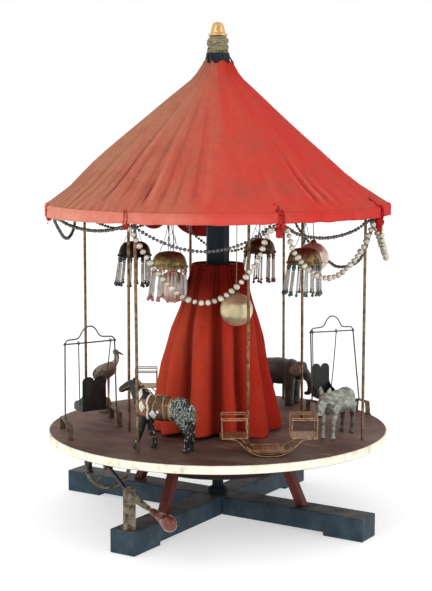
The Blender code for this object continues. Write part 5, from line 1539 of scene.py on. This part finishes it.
bm = bmesh.new()
for j in range(12):
    a = 2 * math.pi * j / 12 + 0.2 * math.sin(j * 2.0)
    low = 0.0225 + 0.0025 * math.sin(j * 1.7)
    wire(bm, [Vector((0.0148 * math.cos(a), 0.0148 * math.sin(a), 0.6800)),
              Vector((0.0168 * math.cos(a + 0.1), 0.0168 * math.sin(a + 0.1), 0.6735)),
              Vector(((low - 0.0015) * math.cos(a + 0.2), (low - 0.0015) * math.sin(a + 0.2), 0.6660)),
              Vector((low * math.cos(a + 0.25), low * math.sin(a + 0.25), 0.6640))], 0.0006, sides=1)
print(piece("black_strings", bm, iron_finish, "carousel", []).name)

# %% [markdown]
# ## The finial
# The brass finial is one lathe profile: a flat ring at its foot, a groove above it and a rounded cap.

# %% Finial
bm = bmesh.new()
lathe(bm, [(0.0, 0.7013), (0.0118, 0.7013), (0.0134, 0.7018), (0.0141, 0.7030), (0.0141, 0.7040), (0.0134, 0.7051),
           (0.0118, 0.7056), (0.0109, 0.7061), (0.0106, 0.7072), (0.0104, 0.7085), (0.0098, 0.7118), (0.0089, 0.7155),
           (0.0078, 0.7185), (0.0064, 0.7204), (0.0046, 0.7212), (0.0022, 0.7215), (0.0, 0.7215)], 40)
print(piece("brass_finial", bm, finial_finish, "carousel", ["finial"], 50).name)

# %% [markdown]
# ## The crank
# The crank stands on a thin shaft. Its arm is a flat strip with a round boss at the shaft, its handle is turned
# wood that swells towards the end, and further in the shaft carries a grooved wheel with five bent spokes.

# %% Crank pieces
SHAFT_AT = Vector((0.0072, -0.2331, 0.0834))
SHAFT_WAY = Vector((-0.7343, 0.6786, 0)).normalized()
ACROSS = Vector((0.6786, 0.7343, 0)).normalized()
ARM_RUN, WHEEL_RUN = -0.0115, 0.1590


def on_shaft(run, across=0.0, up=0.0):
    return SHAFT_AT + SHAFT_WAY * run + ACROSS * across + UP * up


pin = on_shaft(ARM_RUN, 0.0239, -0.0190)
reach = (pin - on_shaft(ARM_RUN)).length
arm_way = (pin - on_shaft(ARM_RUN)).normalized()
arm_lift = SHAFT_WAY.cross(arm_way)
outline = []
for k in range(13):
    a = math.radians(62 + 236 * k / 12)
    outline.append((0.0062 * math.cos(a), 0.0062 * math.sin(a)))
for k in range(7):
    a = math.radians(-90 + 180 * k / 6)
    outline.append((reach + 0.0036 * math.cos(a), 0.0036 * math.sin(a)))
bm = bmesh.new()
slab(bm, outline, on_shaft(ARM_RUN), arm_way, arm_lift, SHAFT_WAY, 0.0024)
lathe(bm, [(0, -0.0018), (0.0026, -0.0018), (0.0044, -0.0010), (0.0050, 0.0002), (0.0050, 0.0016), (0, 0.0016)], 24,
      along(SHAFT_WAY, on_shaft(-0.0134)))
edges = [e for e in bm.edges if len(e.link_faces) == 2 and e.calc_face_angle(0) > 0.8]
bmesh.ops.bevel(bm, geom=edges, offset=0.0003, offset_type="OFFSET", segments=2, profile=0.5, affect="EDGES",
                material=-1)
print(piece("crank_arm_strip", bm, bracket_finish, "crank", ["crank_arm"]).name)

bm = bmesh.new()
lathe(bm, [(0.0, 0.0), (0.0030, 0.0), (0.0033, 0.0006), (0.0034, 0.0060), (0.0038, 0.0090), (0.0045, 0.0120),
           (0.0051, 0.0155), (0.0056, 0.0190), (0.0058, 0.0280), (0.0060, 0.0380), (0.0067, 0.0445), (0.0076, 0.0500),
           (0.0086, 0.0558), (0.0094, 0.0610), (0.0100, 0.0655), (0.0103, 0.0700), (0.0103, 0.0738), (0.0100, 0.0775),
           (0.0092, 0.0812), (0.0078, 0.0843), (0.0058, 0.0865), (0.0034, 0.0877), (0.0, 0.0880)], 40,
      along((0.820, -0.570, 0), pin - SHAFT_WAY * 0.0021))
print(piece("turned_handle", bm, handle_finish, "crank", ["crank_handle"], 60).name)

bm = bmesh.new()
hub = along(SHAFT_WAY, on_shaft(WHEEL_RUN))
lathe(bm, [(0.0340, -0.0030), (0.0333, -0.0024), (0.0322, 0.0), (0.0333, 0.0024), (0.0340, 0.0030), (0.0330, 0.0034),
           (0.0298, 0.0032), (0.0290, 0.0024), (0.0290, -0.0024), (0.0298, -0.0032), (0.0330, -0.0034)], 64, hub)
lathe(bm, [(0.0030, -0.0045), (0.0062, -0.0045), (0.0070, -0.0036), (0.0070, 0.0036), (0.0062, 0.0045),
           (0.0030, 0.0045)], 28, hub)
for k in range(5):
    spoke = []
    for r, lag in ((0.0058, 0.0), (0.0130, 14.0), (0.0210, 20.0), (0.0298, 12.0)):
        a = math.radians(72 * k + lag)
        spoke.append(on_shaft(WHEEL_RUN, r * math.cos(a), r * math.sin(a)))
    wire(bm, spoke, 1.0, radii=[0.0022, 0.0016, 0.0015, 0.0021], sides=3)
print(piece("spoked_wheel", bm, bracket_finish, "crank", ["drive_wheel"]).name)

# %% [markdown]
# ## Floor, backdrop and light
# The toy stands on a very large white floor that glows a little, under a white sky. Two soft lights, placed as
# seen from the camera, give its forms a bright and a darker side. The floor is stage and no part of the toy.

# %% Floor, backdrop and light
bm = bmesh.new()
bmesh.ops.create_grid(bm, x_segments=1, y_segments=1, size=40.0)
mesh = bpy.data.meshes.new("studio_floor")
bm.to_mesh(mesh)
bm.free()
floor = bpy.data.objects.new("studio_floor", mesh)
bpy.context.scene.collection.objects.link(floor)
paper = Finish("white_paper", (0.62, 0.62, 0.62), 0.95, gloss=0.0)
paper.shader.inputs["Emission Color"].default_value = (1, 1, 1, 1)
paper.shader.inputs["Emission Strength"].default_value = 0.52
mesh.materials.append(paper.done(None, None, paper.grain(40, 3), 0.0005, 0.05))
floor.location.z = -0.0004

world = bpy.data.worlds.new("studio")
bpy.context.scene.world = world
world.use_nodes = True
world.node_tree.nodes["Background"].inputs["Color"].default_value = (1.0, 1.0, 1.0, 1)
world.node_tree.nodes["Background"].inputs["Strength"].default_value = 1.0


def softbox(name, place, size, power):
    data = bpy.data.lights.new(name, "AREA")
    data.shape = "RECTANGLE"
    data.size, data.size_y = size
    data.energy = power
    ob = bpy.data.objects.new(name, data)
    bpy.context.scene.collection.objects.link(ob)
    ob.location = aim @ Vector(place)
    ob.rotation_mode = "QUATERNION"
    ob.rotation_quaternion = (Vector((0, 0, 0.35)) - ob.location).to_track_quat("-Z", "Y")
    return ob


softbox("key_softbox", (-1.2, -1.7, 1.7), (1.0, 1.0), 9)
softbox("rim_softbox", (1.8, -0.9, 1.1), (0.9, 0.9), 5)
bpy.context.scene.view_settings.view_transform = "Standard"
print("lights on")
